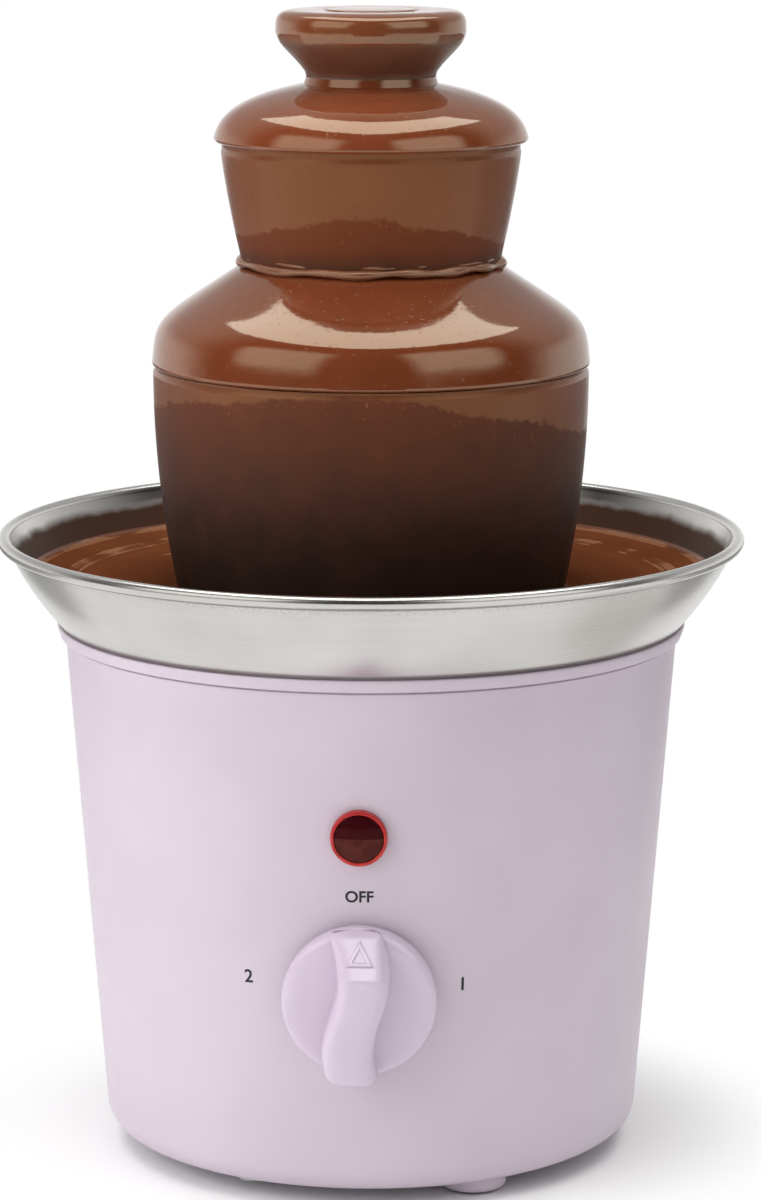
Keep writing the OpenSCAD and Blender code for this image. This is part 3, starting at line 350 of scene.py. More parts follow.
@dataclass(frozen=True)
class Metal(Finish):
    """Bare metal: fine machining lines, smudges and a slight drift of tone."""

    roughness: float = 0.28
    lay: Lay = Lay.EVEN
    line: float = 0.25
    depth: float = 0.004
    smudge: float = 0.1

    def paint(self) -> bpy.types.Material:
        """Make the material.

        Returns:
            The material.
        """
        paint = Paint(self.name)
        if self.lay is Lay.ROUND:
            lines = paint.rings(self.line)
        elif self.lay is Lay.RISING:
            lines = paint.noise(self.line, 2.0, (1.0, 1.0, 0.02))
        else:
            lines = paint.noise(self.line * 4, 3.0)
        smudge = paint.noise(16.0, 2.0).between(0.3, 0.8)
        tone = 0.5 * paint.noise(30.0, 2.0) + 0.5 * lines
        return paint.finish(
            Base_Color=paint.mix(tone.between(0.3, 0.7), self.deep, self.light),
            Metallic=1.0,
            Roughness=self.roughness + self.smudge * smudge + 0.1 * (lines - 0.5),
            Normal=paint.bump(lines, self.depth))


@dataclass(frozen=True)
class Winding(Finish):
    """Enamelled wire: rows of turns with a dark gap between them."""

    pitch: float = 0.6

    def paint(self) -> bpy.types.Material:
        """Make the material: the turns are a sine of the height.

        Returns:
            The material.
        """
        paint = Paint(self.name)
        turns = paint.axis("Z") * (TAU / self.pitch)
        row = 0.5 + 0.5 * turns.math("SINE", turns)
        return paint.finish(
            Base_Color=paint.mix(row, self.deep, self.light),
            Metallic=0.9,
            Roughness=0.3 + 0.1 * paint.noise(4.0),
            Normal=paint.bump(row, 0.1))


@dataclass(frozen=True)
class Lens(Finish):
    """A red indicator lens, in two tones that meet at its middle."""

    split_z: float = 97.1
    gloss: float = 0.14

    def paint(self) -> bpy.types.Material:
        """Make the material: deep above the split and lighter below it.

        Returns:
            The material.
        """
        paint = Paint(self.name)
        facets = paint.noise(0.9, 2.0)
        upper = (paint.axis("Z") + 0.3 * (facets - 0.5)).between(self.split_z - 0.12, self.split_z + 0.12)
        glints = paint.noise(2.4, 2.0).between(0.3, 0.7)
        lower = paint.mix(glints, toned(self.light, 0.7), self.light)
        return paint.finish(
            Base_Color=paint.mix(upper, lower, self.deep),
            Roughness=0.08 + 0.1 * facets,
            Specular_IOR_Level=self.gloss,
            Specular_Tint=(1.0, 0.45, 0.4, 1.0),
            Normal=paint.bump(facets, 0.01))


@dataclass(frozen=True)
class Glass:
    """Clear glass of a small bulb, faintly smoked by use."""

    name: str

    def paint(self) -> bpy.types.Material:
        """Make the material.

        Returns:
            The material.
        """
        paint = Paint(self.name)
        haze = paint.noise(2.0, 2.0)
        return paint.finish(
            Base_Color=paint.mix(haze, (0.95, 0.86, 0.78), (0.98, 0.96, 0.94)),
            Roughness=0.02 + 0.06 * haze,
            Transmission_Weight=0.92,
            IOR=1.47)


GLAZE = {"IOR": 1.6, "Specular_IOR_Level": 1.0, "Specular_Tint": (1.0, 0.88, 0.64, 1.0)}
SHEEN = {"IOR": 1.5, "Specular_IOR_Level": 0.6, "Specular_Tint": (1.0, 0.66, 0.36, 1.0)}
DULL = {"IOR": 1.4, "Specular_IOR_Level": 0.22, "Specular_Tint": (1.0, 0.7, 0.45, 1.0)}


@dataclass(frozen=True)
class Film(Finish):
    """Glossy chocolate that runs over a dome."""

    ripple: float = 6.0
    depth: float = 0.045
    # Painted shade: shade_z and shade give the height below which, and the colour in which, the film is
    # painted darker.
    shade_z: float = 0.0
    shade: Colour = (0.105, 0.034, 0.018)
    gloss: float = 0.05

    def paint(self) -> bpy.types.Material:
        """Make the material: slow clouds, long ripples, a few fine bubbles and a painted shade below a
        height.

        Returns:
            The material.
        """
        paint = Paint(self.name)
        clouds = paint.noise(26.0, 3.0)
        ripples = paint.noise(self.ripple, 3.0)
        bubbles = paint.noise(1.1, 0.0).between(0.76, 0.8)
        # Painted shade: below shade_z the film takes the darker shade colour and a rougher gloss, standing in
        # for the crown's shaded lower face.
        bright = (paint.axis("Z") + 1.6 * (ripples - 0.5)).between(self.shade_z - 0.5, self.shade_z + 0.5)
        tone = paint.mix(clouds.between(0.25, 0.75), self.deep, self.light)
        return paint.finish(
            Base_Color=paint.mix(bright, self.shade, tone),
            Roughness=self.gloss + 0.05 * ripples + 0.3 * (1.0 - bright),
            Normal=paint.bump(ripples + 0.4 * bubbles, self.depth),
            **GLAZE)


@dataclass(frozen=True)
class Pool(Finish):
    """Chocolate that lies in the bowl: brown and soft, with a little shine on its ripples."""

    shadow_fade_r: tuple[float, float] = (48.0, 72.0)
    rim_r: tuple[float, float] = (86.0, 87.0)
    painted_highlight: Colour = (0.42, 0.2, 0.1)

    def paint(self) -> bpy.types.Material:
        """Make the material: streaks drawn round the axis by the fall, with painted beige highlights along
        fine lines, painted shade near the fall and a glossy rim.

        Returns:
            The material.
        """
        paint = Paint(self.name)
        streaks = paint.rings(7.0)
        clouds = paint.noise(18.0, 3.0)
        lines = (paint.rings(4.0) + 0.5 * (clouds - 0.5)).between(0.58, 0.63)
        tone = paint.mix((0.5 * streaks + 0.5 * clouds).between(0.3, 0.7), self.deep, self.light)
        # Painted shade: nearer the fall than the two radii, the pool is a darker copy of its deep colour, for
        # the shade and dark reflection of the tower.
        shadow = toned(self.deep, 0.55)
        # Painted highlight: the thin ring lines are mixed towards a light beige, standing in for the shine
        # along the ripples.
        highlighted = paint.mix(0.45 * lines, tone, self.painted_highlight)
        rim = paint.radius().between(*self.rim_r)
        return paint.finish(
            Base_Color=paint.mix(paint.radius().between(*self.shadow_fade_r), shadow, highlighted),
            Roughness=0.3 + 0.15 * clouds,
            Normal=paint.bump(clouds + 0.3 * lines, 0.3),
            Specular_IOR_Level=0.0,
            Coat_Weight=0.12 * lines + 0.7 * rim,
            Coat_Roughness=0.08)


@dataclass(frozen=True)
class Curtain:
    """A falling sheet: glossy above a ragged edge, dull below it, where painted shade deepens towards its
    foot.

    Attributes:
        name: the material's name.
        glossy: colour above the edge.
        stops: colours below it, as (share of the height, colour) from the foot up; their darkening towards
            the foot is painted shade.
        top_z: height of the last stop.
        foot_z: height of the first stop.
        edge_z: height of the ragged edge in the middle.
        edge_wave: how far the edge wanders.
        bow: how much the edge drops towards the sides, per square millimetre.
        lean: how much the edge drops towards the right.
        specks: noise level above which a fine bubble shows.
    """

    name: str
    glossy: Colour
    stops: tuple[tuple[float, Colour], ...]
    top_z: float
    foot_z: float
    edge_z: float
    edge_wave: float
    bow: float
    lean: float
    specks: float

    def paint(self) -> bpy.types.Material:
        """Make the material: a mask over the height, shifted by noise, parts the two zones.

        Returns:
            The material.
        """
        paint = Paint(self.name)
        height = paint.axis("Z")
        aside = paint.axis("X")
        wander = (paint.noise(18.0, 2.0) - 0.5) + 0.8 * (paint.noise(2.6, 4.0) - 0.5)
        level = height + self.edge_wave * wander + self.bow * aside ** 2.0 + self.lean * aside
        above = level.between(self.edge_z - 0.6, self.edge_z + 0.6)
        past = level.between(self.edge_z, self.edge_z + 12.0)
        near = level.between(self.edge_z - 9.0, self.edge_z) * (1.0 - past)
        streaks = paint.noise(5.0, 3.0, (1.0, 1.0, 0.12))
        share = (height - self.foot_z) / (self.top_z - self.foot_z)
        clouds = paint.noise(20.0, 3.0).between(0.3, 0.7)
        mottles = paint.noise(9.0, 4.0)
        uneven = 0.1 * (streaks - 0.5) + 0.3 * (mottles - 0.5) + 0.08 * (clouds - 0.5)
        # Painted shade: the ramp darkens the dull zone towards the foot, where less light reaches the falling
        # sheet.
        tone = paint.node("ShaderNodeValToRGB", {"stops": list(self.stops)}, {0: share + uneven})
        ripples = paint.noise(6.0, 2.0)
        bubbles = paint.noise(0.8, 0.0).between(self.specks, self.specks + 0.04)
        shine = paint.shader(
            Base_Color=paint.mix(clouds, toned(self.glossy, 0.9), self.glossy),
            Roughness=0.24 + 0.08 * ripples,
            Normal=paint.bump(ripples, 0.007),
            **SHEEN)
        dull = paint.shader(
            Base_Color=paint.mix(bubbles * near, tone, toned(self.glossy, 1.7)),
            Roughness=0.35 + 0.2 * streaks,
            Normal=paint.bump(streaks + 0.5 * bubbles, 0.1),
            **DULL)
        return paint.parted(above, dull, shine)


STEEL = ((0.68, 0.665, 0.64), (0.6, 0.585, 0.56))
LILAC = Moulded("lilac_satin", (0.6, 0.52, 0.594), (0.57, 0.49, 0.564), roughness=0.38, depth=0.003)
KNOB_LILAC = Moulded("lilac_gloss", (0.6, 0.5, 0.613), (0.58, 0.48, 0.593), roughness=0.3,
                     grain=3.0, depth=0.0005, coat=1.0, handling=0.01)
INK = Moulded("mark_ink", (0.012, 0.01, 0.012), (0.008, 0.006, 0.008), roughness=0.6, grain=0.3, depth=0.004)
FINISHES = {
    Slot.LILAC: LILAC,
    Slot.BOWL: Metal("bowl_sheet", *STEEL, roughness=0.25, lay=Lay.ROUND, line=0.9,
                     depth=0.0006, smudge=0.03),
    Slot.ZINC: Metal("zinc_plate", (0.66, 0.67, 0.68), (0.52, 0.53, 0.55), roughness=0.3),
    Slot.DARK_STEEL: Metal("dark_steel", (0.3, 0.3, 0.31), (0.2, 0.2, 0.21), roughness=0.36, lay=Lay.RISING),
    Slot.ALUMINIUM: Metal("cast_aluminium", (0.72, 0.72, 0.72), (0.6, 0.6, 0.61), roughness=0.45),
    Slot.BRASS: Metal("turned_brass", (0.72, 0.52, 0.22), (0.58, 0.4, 0.15), lay=Lay.ROUND),
    Slot.IVORY: Moulded("ivory_plastic", (0.78, 0.75, 0.66), (0.72, 0.68, 0.58), roughness=0.36),
    Slot.CHOCOLATE: Pool("chocolate_pool", (0.17, 0.053, 0.021), (0.13, 0.04, 0.016)),
    Slot.RUBBER: Moulded("rubber", (0.035, 0.034, 0.034), (0.02, 0.02, 0.02), roughness=0.75,
                         grain=0.5, depth=0.03),
    Slot.DARK_PLASTIC: Moulded("dark_plastic", (0.05, 0.05, 0.055), (0.03, 0.03, 0.033), roughness=0.5),
    Slot.MAGNET: Metal("magnet_ferrite", (0.14, 0.14, 0.15), (0.08, 0.08, 0.09), roughness=0.6),
    Slot.COPPER: Winding("enamelled_copper", (0.62, 0.27, 0.12), (0.16, 0.06, 0.03)),
    Slot.LENS: Lens("lens_window", (0.085, 0.02, 0.016), (0.035, 0.003, 0.005)),
    Slot.GLASS: Glass("bulb_glass"),
}


@dataclass
class Skin:
    """A surface on its way to a mesh.

    Attributes:
        points: its corners as an (n, 3) array, in millimetres, or in metres for the studio.
        faces: corner numbers, four to a face.
    """

    points: np.ndarray
    faces: np.ndarray

    def __add__(self, other: "Skin") -> "Skin":
        """Set two skins side by side in one mesh."""
        return Skin(np.vstack([self.points, other.points]),
                    np.vstack([self.faces, other.faces + len(self.points)]))

    def moved(self, where: Callable[[np.ndarray], np.ndarray]) -> "Skin":
        """Carry the points to another place."""
        return Skin(where(self.points), self.faces)


def grid_skin(points: np.ndarray, round_rows: bool, round_columns: bool) -> Skin:
    """Join a grid of points with quads.

    Quad (i, j) joins points (i, j), (i, j+1), (i+1, j+1) and (i+1, j). A round direction also
    joins its last line of points to its first.

    Args:
        points: a (rows, columns, 3) array.
        round_rows: whether the last row meets the first.
        round_columns: whether the last column meets the first.

    Returns:
        The skin.
    """
    numbers = np.arange(points.shape[0] * points.shape[1]).reshape(points.shape[:2])
    if round_rows:
        numbers = np.vstack([numbers, numbers[:1]])
    if round_columns:
        numbers = np.hstack([numbers, numbers[:, :1]])
    corners = (numbers[:-1, :-1], numbers[:-1, 1:], numbers[1:, 1:], numbers[1:, :-1])
    return Skin(points.reshape(-1, 3), np.stack([corner.ravel() for corner in corners], axis=1))


def angles(steps: int) -> np.ndarray:
    """Angles of a full turn, as a (1, steps) row."""
    return np.linspace(0, TAU, steps, endpoint=False)[None, :]


def around(radius: Any, angle: np.ndarray, height: Any) -> np.ndarray:
    """Points at radii r, angles a and heights z: (r sin a, -r cos a, z)."""
    parts = np.broadcast_arrays(radius * np.sin(angle), -radius * np.cos(angle), height)
    return np.stack(parts, axis=-1)


def lathe(profile: np.ndarray, steps: int = 256, swell: np.ndarray | None = None) -> Skin:
    """Turn a profile round the axis.

    Profile point (r, z) becomes (r sin a, -r cos a, z) at each angle a. The profile is a closed
    loop, or a line with both ends on the axis, and runs outwards and down on its outer side.

    Args:
        profile: (r, z) rows in millimetres.
        steps: angles in a turn.
        swell: millimetres by which each point moves out along the profile's normal, as (rows, steps).

    Returns:
        The closed skin.
    """
    angle = angles(steps)
    radius = profile[:, :1] + 0 * angle
    height = profile[:, 1:] + 0 * angle
    if swell is not None:
        along = np.gradient(profile, axis=0)
        along = along / np.maximum(np.hypot(along[:, :1], along[:, 1:]), 1e-9)
        radius = radius - along[:, 1:] * swell
        height = height + along[:, :1] * swell
    closed = max(profile[0, 0], profile[-1, 0]) > 1e-6
    return grid_skin(around(radius, angle, height), closed, True)


def bezier(first: Any, second: Any, third: Any, last: Any, count: int) -> np.ndarray:
    """Points of a cubic Bezier curve: (1-t)^3 a + 3 (1-t)^2 t b + 3 (1-t) t^2 c + t^3 d.

    Args:
        first: the (r, z) corner a, where it starts.
        second: the corner b, which gives its direction there.
        third: the corner c, which gives its direction at the end.
        last: the corner d, where it ends.
        count: how many points.

    Returns:
        (r, z) rows.
    """
    share = np.linspace(0, 1, count)[:, None]
    rest = 1 - share
    corners = [np.asarray(corner, float) for corner in (first, second, third, last)]
    return (rest ** 3 * corners[0] + 3 * rest ** 2 * share * corners[1]
            + 3 * rest * share ** 2 * corners[2] + share ** 3 * corners[3])


def arc(centre: tuple[float, float], radius: float, start: float, end: float, count: int) -> np.ndarray:
    """Points of a circle's arc from one angle to another, in degrees."""
    angle = np.radians(np.linspace(start, end, count))
    return np.stack([centre[0] + radius * np.cos(angle), centre[1] + radius * np.sin(angle)], axis=1)


def line(*corners: tuple[float, float], step: float = 2.0) -> np.ndarray:
    """Points on straight runs through the corners, a step apart at most."""
    runs = [np.linspace(a, b, 1 + max(1, math.ceil(math.dist(a, b) / step)))
            for a, b in zip(corners, corners[1:])]
    return np.vstack(runs)


def joined(*lines: np.ndarray) -> np.ndarray:
    """Lines end to end, without a point that repeats the one before it.

    Args:
        lines: (r, z) rows of each line.

    Returns:
        (r, z) rows of the whole.
    """
    points = np.vstack(lines)
    gaps = np.hypot(*np.diff(points, axis=0).T)
    return points[np.concatenate([[True], gaps > 1e-4])]


def share_of(value: np.ndarray, low: float, high: float) -> np.ndarray:
    """Smooth step: 0 below low, 1 above high and 3t^2 - 2t^3 between."""
    share = np.clip((value - low) / (high - low), 0, 1)
    return share * share * (3 - 2 * share)


@dataclass(frozen=True)
class Waves:
    """A seeded, smooth unevenness: the mean of sines in angle and in distance along a profile."""

    seed: int
    turns: tuple[int, int]
    rise: float
    count: int = 14

    def at(self, angle: np.ndarray, along: np.ndarray) -> np.ndarray:
        """Sum sin(k a + m s + phase) with whole k, so that the waves close round the axis.

        Args:
            angle: angles as a (1, steps) array.
            along: distances in millimetres as a (rows, 1) array.

        Returns:
            The waves as (rows, steps), about -1 to 1.
        """
        draw = np.random.default_rng(self.seed)
        turns = draw.integers(*self.turns, self.count)
        rise = draw.uniform(-1, 1, self.count) * self.rise
        phase = draw.uniform(0, TAU, self.count)
        sines = np.sin(angle[..., None] * turns + along[..., None] * rise + phase)
        return sines.sum(axis=-1) / math.sqrt(self.count / 2) / 1.6


def draped(outer: np.ndarray, inner: np.ndarray, steps: int,
           swell: Callable[[np.ndarray, np.ndarray], np.ndarray]) -> Skin:
    """Turn a sheet of chocolate round the axis, with an outer face that wanders.

    Args:
        outer: (r, z) rows of the outer face.
        inner: (r, z) rows of the inner face, back to the start.
        steps: angles in a turn.
        swell: gives the outer face's rise in millimetres from (1, steps) angles and (rows, 1) heights.

    Returns:
        The closed skin.
    """
    profile = joined(outer, inner)
    smear_and_reflection_mask = (np.arange(len(profile)) < len(outer))[:, None]
    return lathe(profile, steps, smear_and_reflection_mask * swell(angles(steps), profile[:, 1:]))


def new_mesh(name: str, points: np.ndarray, faces: list[list[int]],
             material: bpy.types.Material) -> bpy.types.Mesh:
    """Make a mesh.

    Args:
        name: its name.
        points: its corners, in metres.
        faces: corner numbers of each face.
        material: its finish.

    Returns:
        The mesh.
    """
    mesh = bpy.data.meshes.new(name)
    mesh.from_pydata(points.tolist(), [], faces)
    mesh.materials.append(material)
    return mesh


def placed(name: str, data: bpy.types.ID) -> bpy.types.Object:
    """Put a mesh, text, lamp or camera into the scene.

    Args:
        name: the new object's name.
        data: what it shows.

    Returns:
        The object, at the origin.
    """
    made = bpy.data.objects.new(name, data)
    bpy.context.scene.collection.objects.link(made)
    return made


def add_piece(name: str, skin: Skin, material: bpy.types.Material, body: Body, slot: Slot,
              *nodes: str) -> None:
    """Make a piece of the object from a skin.

    Doubles are merged, so that poles close, and the faces are turned outwards. Edges sharper
    than CRISP degrees stay crisp.

    Args:
        name: the piece's name.
        skin: its surface.
        material: its finish.
        body: the body that it rides on.
        slot: the record's finish; not used.
        nodes: the frame's nodes that it stands for.
    """
    mesh = new_mesh(name, skin.points * MM, skin.faces.tolist(), material)
    work = bmesh.new()
    work.from_mesh(mesh)
    bmesh.ops.remove_doubles(work, verts=work.verts, dist=1e-7)
    bmesh.ops.recalc_face_normals(work, faces=work.faces)
    work.to_mesh(mesh)
    work.free()
    mesh.shade_smooth()
    mesh.set_sharp_from_angle(angle=math.radians(CRISP))
    piece = placed(name, mesh)
    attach(piece, body.value)
    if nodes:
        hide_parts(*nodes)
    log.info("%s: %d faces on %s", name, len(mesh.polygons), body.value)


@dataclass(frozen=True)
class Wall:
    """The housing's tapered wall: its radius grows evenly from foot to collar."""

    foot_r: float = 68.5492
    foot_z: float = 4.0
    top_r: float = 78.4492
    top_z: float = 132.5

    @property
    def slope(self) -> float:
        """Growth of the radius with the height."""
        return (self.top_r - self.foot_r) / (self.top_z - self.foot_z)

    def radius(self, height: Any) -> Any:
        """Radius at a height."""
        return self.foot_r + self.slope * (height - self.foot_z)

    def placer(self, height: float) -> Callable[[np.ndarray], np.ndarray]:
        """Carry points to the front of the wall.

        Local X runs right, Y up the wall and Z out of it, so with the lean t of the wall the
        point becomes (x, -R - y sin t - z cos t, h + y cos t - z sin t).

        Args:
            height: the height of the local origin.

        Returns:
            The function that carries (n, 3) points.
        """
        lean = math.atan(self.slope)
        sine, cosine = math.sin(lean), math.cos(lean)

        def place(points: np.ndarray) -> np.ndarray:
            """Turn and lift the points."""
            x, y, z = points.T
            return np.stack([x, -self.radius(height) - y * sine - z * cosine,
                             height + y * cosine - z * sine], axis=1)

        return place


WALL = Wall()


@dataclass(frozen=True)
class BowlArc:
    """The bowl's wall in section: a circle's arc with its centre inside and above."""

    centre_r: float = 18.9836
    centre_z: float = 191.985
    radius: float = 82.0

    def at(self, height: Any, offset: float = 0.0) -> Any:
        """Radius at a height, on an arc that lies offset outside the sheet."""
        return self.centre_r + np.sqrt((self.radius + offset) ** 2 - (self.centre_z - height) ** 2)

    def run(self, low: float, high: float, offset: float, count: int) -> np.ndarray:
        """Points up the wall between two heights."""
        height = np.linspace(low, high, count)
        return np.stack([self.at(height, offset), height], axis=1)


BOWL_ARC = BowlArc()


@dataclass(frozen=True)
class BowlSheet(Finish):
    """The bowl's spun steel, with a brown band on its inside above the pool: a chocolate smear that also
    carries a painted reflection of the pool.

    Attributes:
        smear_and_reflection: colour of the smear, which also stands for the steel's painted reflection of the
            pool.
        smear_and_reflection_z: height that the smear and its painted reflection reach.
        bead_z: height under the bead, where a painted shade line runs and the outside is grainy.
    """

    smear_and_reflection: Colour
    smear_and_reflection_z: float = 155.3
    bead_z: float = 156.4

    def paint(self) -> bpy.types.Material:
        """Make the material: the distance from the arc's centre tells the inside from the outside.

        Returns:
            The material.
        """
        paint = Paint(self.name)
        height = paint.axis("Z")
        span = ((paint.radius() - BOWL_ARC.centre_r) ** 2.0 + (BOWL_ARC.centre_z - height) ** 2.0) ** 0.5
        outside = span.between(BOWL_ARC.radius - 0.5, BOWL_ARC.radius - 0.3)
        lines = paint.rings(0.9)
        steel = paint.mix((0.75 * paint.noise(30.0) + 0.25 * lines).between(0.3, 0.7), self.deep, self.light)
        # Painted shade: just under the bead the outside is darkened to a thin line that stands for the shade
        # in the crevice there; the speckled grain below it is the steel's own.
        under = 1.0 - height.between(self.bead_z + 0.35, self.bead_z + 0.6)
        crevice = height.between(self.bead_z - 0.5, self.bead_z - 0.15)
        close = height.between(self.bead_z - 2.6, self.bead_z)
        grain = 0.3 * close * paint.noise(0.4, 1.0).between(0.52, 0.6)
        grain_and_painted_shade = outside * under * (0.75 * crevice + grain * (1.0 - crevice))
        # Painted reflection: the brown band inside above the pool, with no metal shine, is a chocolate smear
        # that also stands for the steel's reflection of the chocolate below it.
        ragged = height + 2.4 * (paint.noise(9.0, 3.0) - 0.5)
        smear_and_reflection_mask = (1.0 - outside) * (1.0 - ragged.between(self.smear_and_reflection_z - 1.5, self.smear_and_reflection_z + 1.2))
        tone = paint.mix(grain_and_painted_shade, steel, toned(self.deep, 0.3))
        return paint.finish(
            Base_Color=paint.mix(smear_and_reflection_mask, tone, self.smear_and_reflection),
            Metallic=1.0 - smear_and_reflection_mask,
            Roughness=0.25 + 0.06 * (lines - 0.5) + 0.12 * smear_and_reflection_mask,
            Specular_IOR_Level=0.06,
            Normal=paint.bump(lines, 0.0004))


@dataclass
class Housing:
    """The lilac shell with its flared collar, and its feet."""

    open_r: float = 60.54
    corner_c: float = 62.4381
    corner_z: float = 10.6
    corner_r: float = 6.6
    wall: float = 2.4
    collar_r: float = 80.6492
    collar_top: float = 136.7
    band_h: float = 3.1
    band_lean: float = 0.85
    groove: float = 0.6
    ledge_z: float = 124.0
    ledge_t: float = 3.5
    ledge_r: float = 65.9
    seat_gap: float = 0.12
    foot_circle: float = 55.0381
    foot_r: float = 8.5
    foot_low: float = 0.4
    foot_round: float = 1.6
    foot_bearings: tuple[float, ...] = (60.0, 180.0, 300.0)
    pad_r: float = 6.52
    pad_z: float = 1.62
    lip_drop: float = 0.4

    def shell(self) -> np.ndarray:
        """Profile of the shell: the collar's band, the groove under it, the outside and the inside.

        Returns:
            The closed profile.
        """
        lean = math.degrees(math.atan(WALL.slope))
        rim, top = self.collar_r, self.collar_top
        lip_r = float(BOWL_ARC.at(top - self.lip_drop, self.seat_gap))
        low_r, low_z = rim - self.band_lean, top - self.band_h
        wall_r = float(WALL.radius(low_z))
        collar = joined(
            np.array([[lip_r, top - self.lip_drop], [lip_r + 0.12, top - 0.1]]),
            bezier((rim - 0.5, top), (rim - 0.1, top), (rim, top - 0.25), (rim - 0.05, top - 0.7), 8),
            bezier((low_r + 0.06, low_z + 0.3), (low_r, low_z + 0.05), (low_r - 0.1, low_z),
                   (low_r - 0.4, low_z - 0.05), 7),
            np.array([(wall_r - self.groove, low_z - 0.1), (wall_r - self.groove, low_z - 0.5)]),
            bezier((wall_r - 0.25, low_z - 0.62), (wall_r - 0.1, low_z - 0.66),
                   (wall_r - 0.03, low_z - 0.75), (wall_r - 0.05, low_z - 0.95), 6))
        side_r = float(WALL.radius(self.corner_z))
        outside = joined(
            line((WALL.top_r, WALL.top_z), (side_r, self.corner_z), step=4.0),
            arc((self.corner_c, self.corner_z), self.corner_r, -lean, -90, 14))
        floor_z, under_z = WALL.foot_z + self.wall, self.ledge_z - self.ledge_t
        inside = np.array([
            (self.open_r, WALL.foot_z), (self.open_r, floor_z), (side_r - self.wall - 2, floor_z + 1),
            (side_r - self.wall, self.corner_z), (WALL.radius(under_z) - self.wall, under_z),
            (self.ledge_r, under_z), (self.ledge_r, self.ledge_z),
            (WALL.radius(self.ledge_z) - self.wall, self.ledge_z)])
        seat = BOWL_ARC.run(WALL.top_z, top - 0.8, self.seat_gap, 5)
        return joined(collar, outside, inside, seat)

    def feet(self) -> Skin:
        """Three feet: rounded discs under the shell, with a recess for the pad.

        Returns:
            The three closed skins in one.
        """
        low, top = self.foot_low, WALL.foot_z
        profile = joined(
            np.array([[0.0, top]]), line((self.foot_r, top), (self.foot_r, low + self.foot_round)),
            arc((self.foot_r - self.foot_round, low + self.foot_round), self.foot_round, 0, -90, 9),
            np.array([[self.pad_r, low], [self.pad_r, self.pad_z], [0.0, self.pad_z]]))
        foot = lathe(profile, 72)
        bearings = np.radians(self.foot_bearings)
        spots = self.foot_circle * np.stack([np.cos(bearings), np.sin(bearings), 0 * bearings], axis=1)
        first, second, third = (foot.moved(lambda points, spot=spot: points + spot) for spot in spots)
        return first + second + third

    def build(self) -> None:
        """Make the shell and the feet and dress them."""
        satin = LILAC.paint()
        add_piece("housing_shell", lathe(self.shell(), 288), satin, Body.BASE, Slot.LILAC, "housing")
        add_piece("round_feet", self.feet(), satin, Body.BASE, Slot.LILAC, "feet")


@dataclass
class Bowl:
    """The spun steel bowl and the pool of chocolate in it."""

    hole_r: float = 7.05
    under_z: float = 113.4
    sheet: float = 0.8
    bead_c: float = 93.9
    bead_z: float = 158.2
    bead_r: float = 1.6
    pool_z: float = 149.0
    pool_in_z: float = 143.5
    pool_hole_r: float = 24.6
    pool_flat_r: float = 51.4
    pool_low_z: float = 114.3
    film_gap: float = 0.1
    curl: float = 0.5
    curl_reach: float = 1.6
    ring_r: float = 53.0
    ring_reach: float = 12.0
    ring_pitch: float = 5.5
    ring_h: float = 0.06
    swell_h: float = 0.1
    calm_reach: float = 6.0

    def sheet_profile(self) -> np.ndarray:
        """Profile of the sheet: over the bead and its seam, down the wall, along the floor and back.

        Returns:
            The closed profile.
        """
        bead = arc((self.bead_c, self.bead_z), self.bead_r, 172, -122, 30)
        end_r, end_z = bead[-1]
        seam = np.array([(end_r - 0.5, end_z + 0.1), (end_r - 0.55, end_z - 0.3)])
        outside = BOWL_ARC.run(self.under_z, end_z - 0.38, 0, 60)[::-1]
        floor_z = self.under_z + self.sheet
        floor = np.array([(self.hole_r, self.under_z), (self.hole_r, floor_z)])
        inside = BOWL_ARC.run(floor_z, bead[0, 1] - 0.25, -self.sheet, 60)
        return joined(bead, seam, outside, floor, inside)

    def pool_skin(self) -> Skin:
        """The pool: z = low + dip u^1.3 out to the wall, where it curls up with v^2.

        Rings run round the fall and fade away from it. Slow swells fade towards the wall.

        Returns:
            The closed skin.
        """
        edge_z, inset = self.pool_z + self.curl, -self.sheet - self.film_gap
        edge_r = float(BOWL_ARC.at(edge_z, inset))
        out = 1 - np.linspace(1, 0, 120) ** 1.4
        radius = self.pool_hole_r + (edge_r - self.pool_hole_r) * out
        share = np.clip((radius - self.pool_flat_r) / (edge_r - self.pool_flat_r), 0, 1)
        height = self.pool_in_z + (self.pool_z - self.pool_in_z) * share ** 1.3
        height = height + self.curl * np.clip(1 - (edge_r - radius) / self.curl_reach, 0, 1) ** 2
        surface = np.stack([radius, height], axis=1)
        wall = BOWL_ARC.run(self.pool_low_z, edge_z, inset, 24)[::-1]
        profile = joined(surface, wall, np.array([[self.pool_hole_r, self.pool_low_z]]))
        steps = 288
        angle, along = angles(steps), profile[:, :1]
        fade = np.exp(-((along - self.ring_r) / self.ring_reach) ** 2) * (along > self.pool_flat_r - 3)
        drift = 1.6 * Waves(5, (2, 7), 0.02).at(angle, along)
        rings = self.ring_h * np.sin(along * TAU / self.ring_pitch + drift)
        slow = self.swell_h * Waves(9, (2, 9), 0.12).at(angle, along) * (along > self.pool_flat_r)
        calm = 1 - share_of(along, edge_r - self.calm_reach, edge_r)
        top = (np.arange(len(profile)) < len(surface) - 3)[:, None]
        return lathe(profile, steps, top * (fade * rings + slow * calm))

    def build(self) -> None:
        """Make the bowl and the pool and dress them."""
        steel = BowlSheet("bowl_smear_and_reflection", *STEEL, smear_and_reflection=(0.075, 0.036, 0.022)).paint()
        add_piece("spun_bowl", lathe(self.sheet_profile(), 320), steel, Body.BASE, Slot.BOWL, "bowl")
        add_piece("pool", self.pool_skin(), FINISHES[Slot.CHOCOLATE].paint(),
                  Body.BASE, Slot.CHOCOLATE, "chocolate_pool")


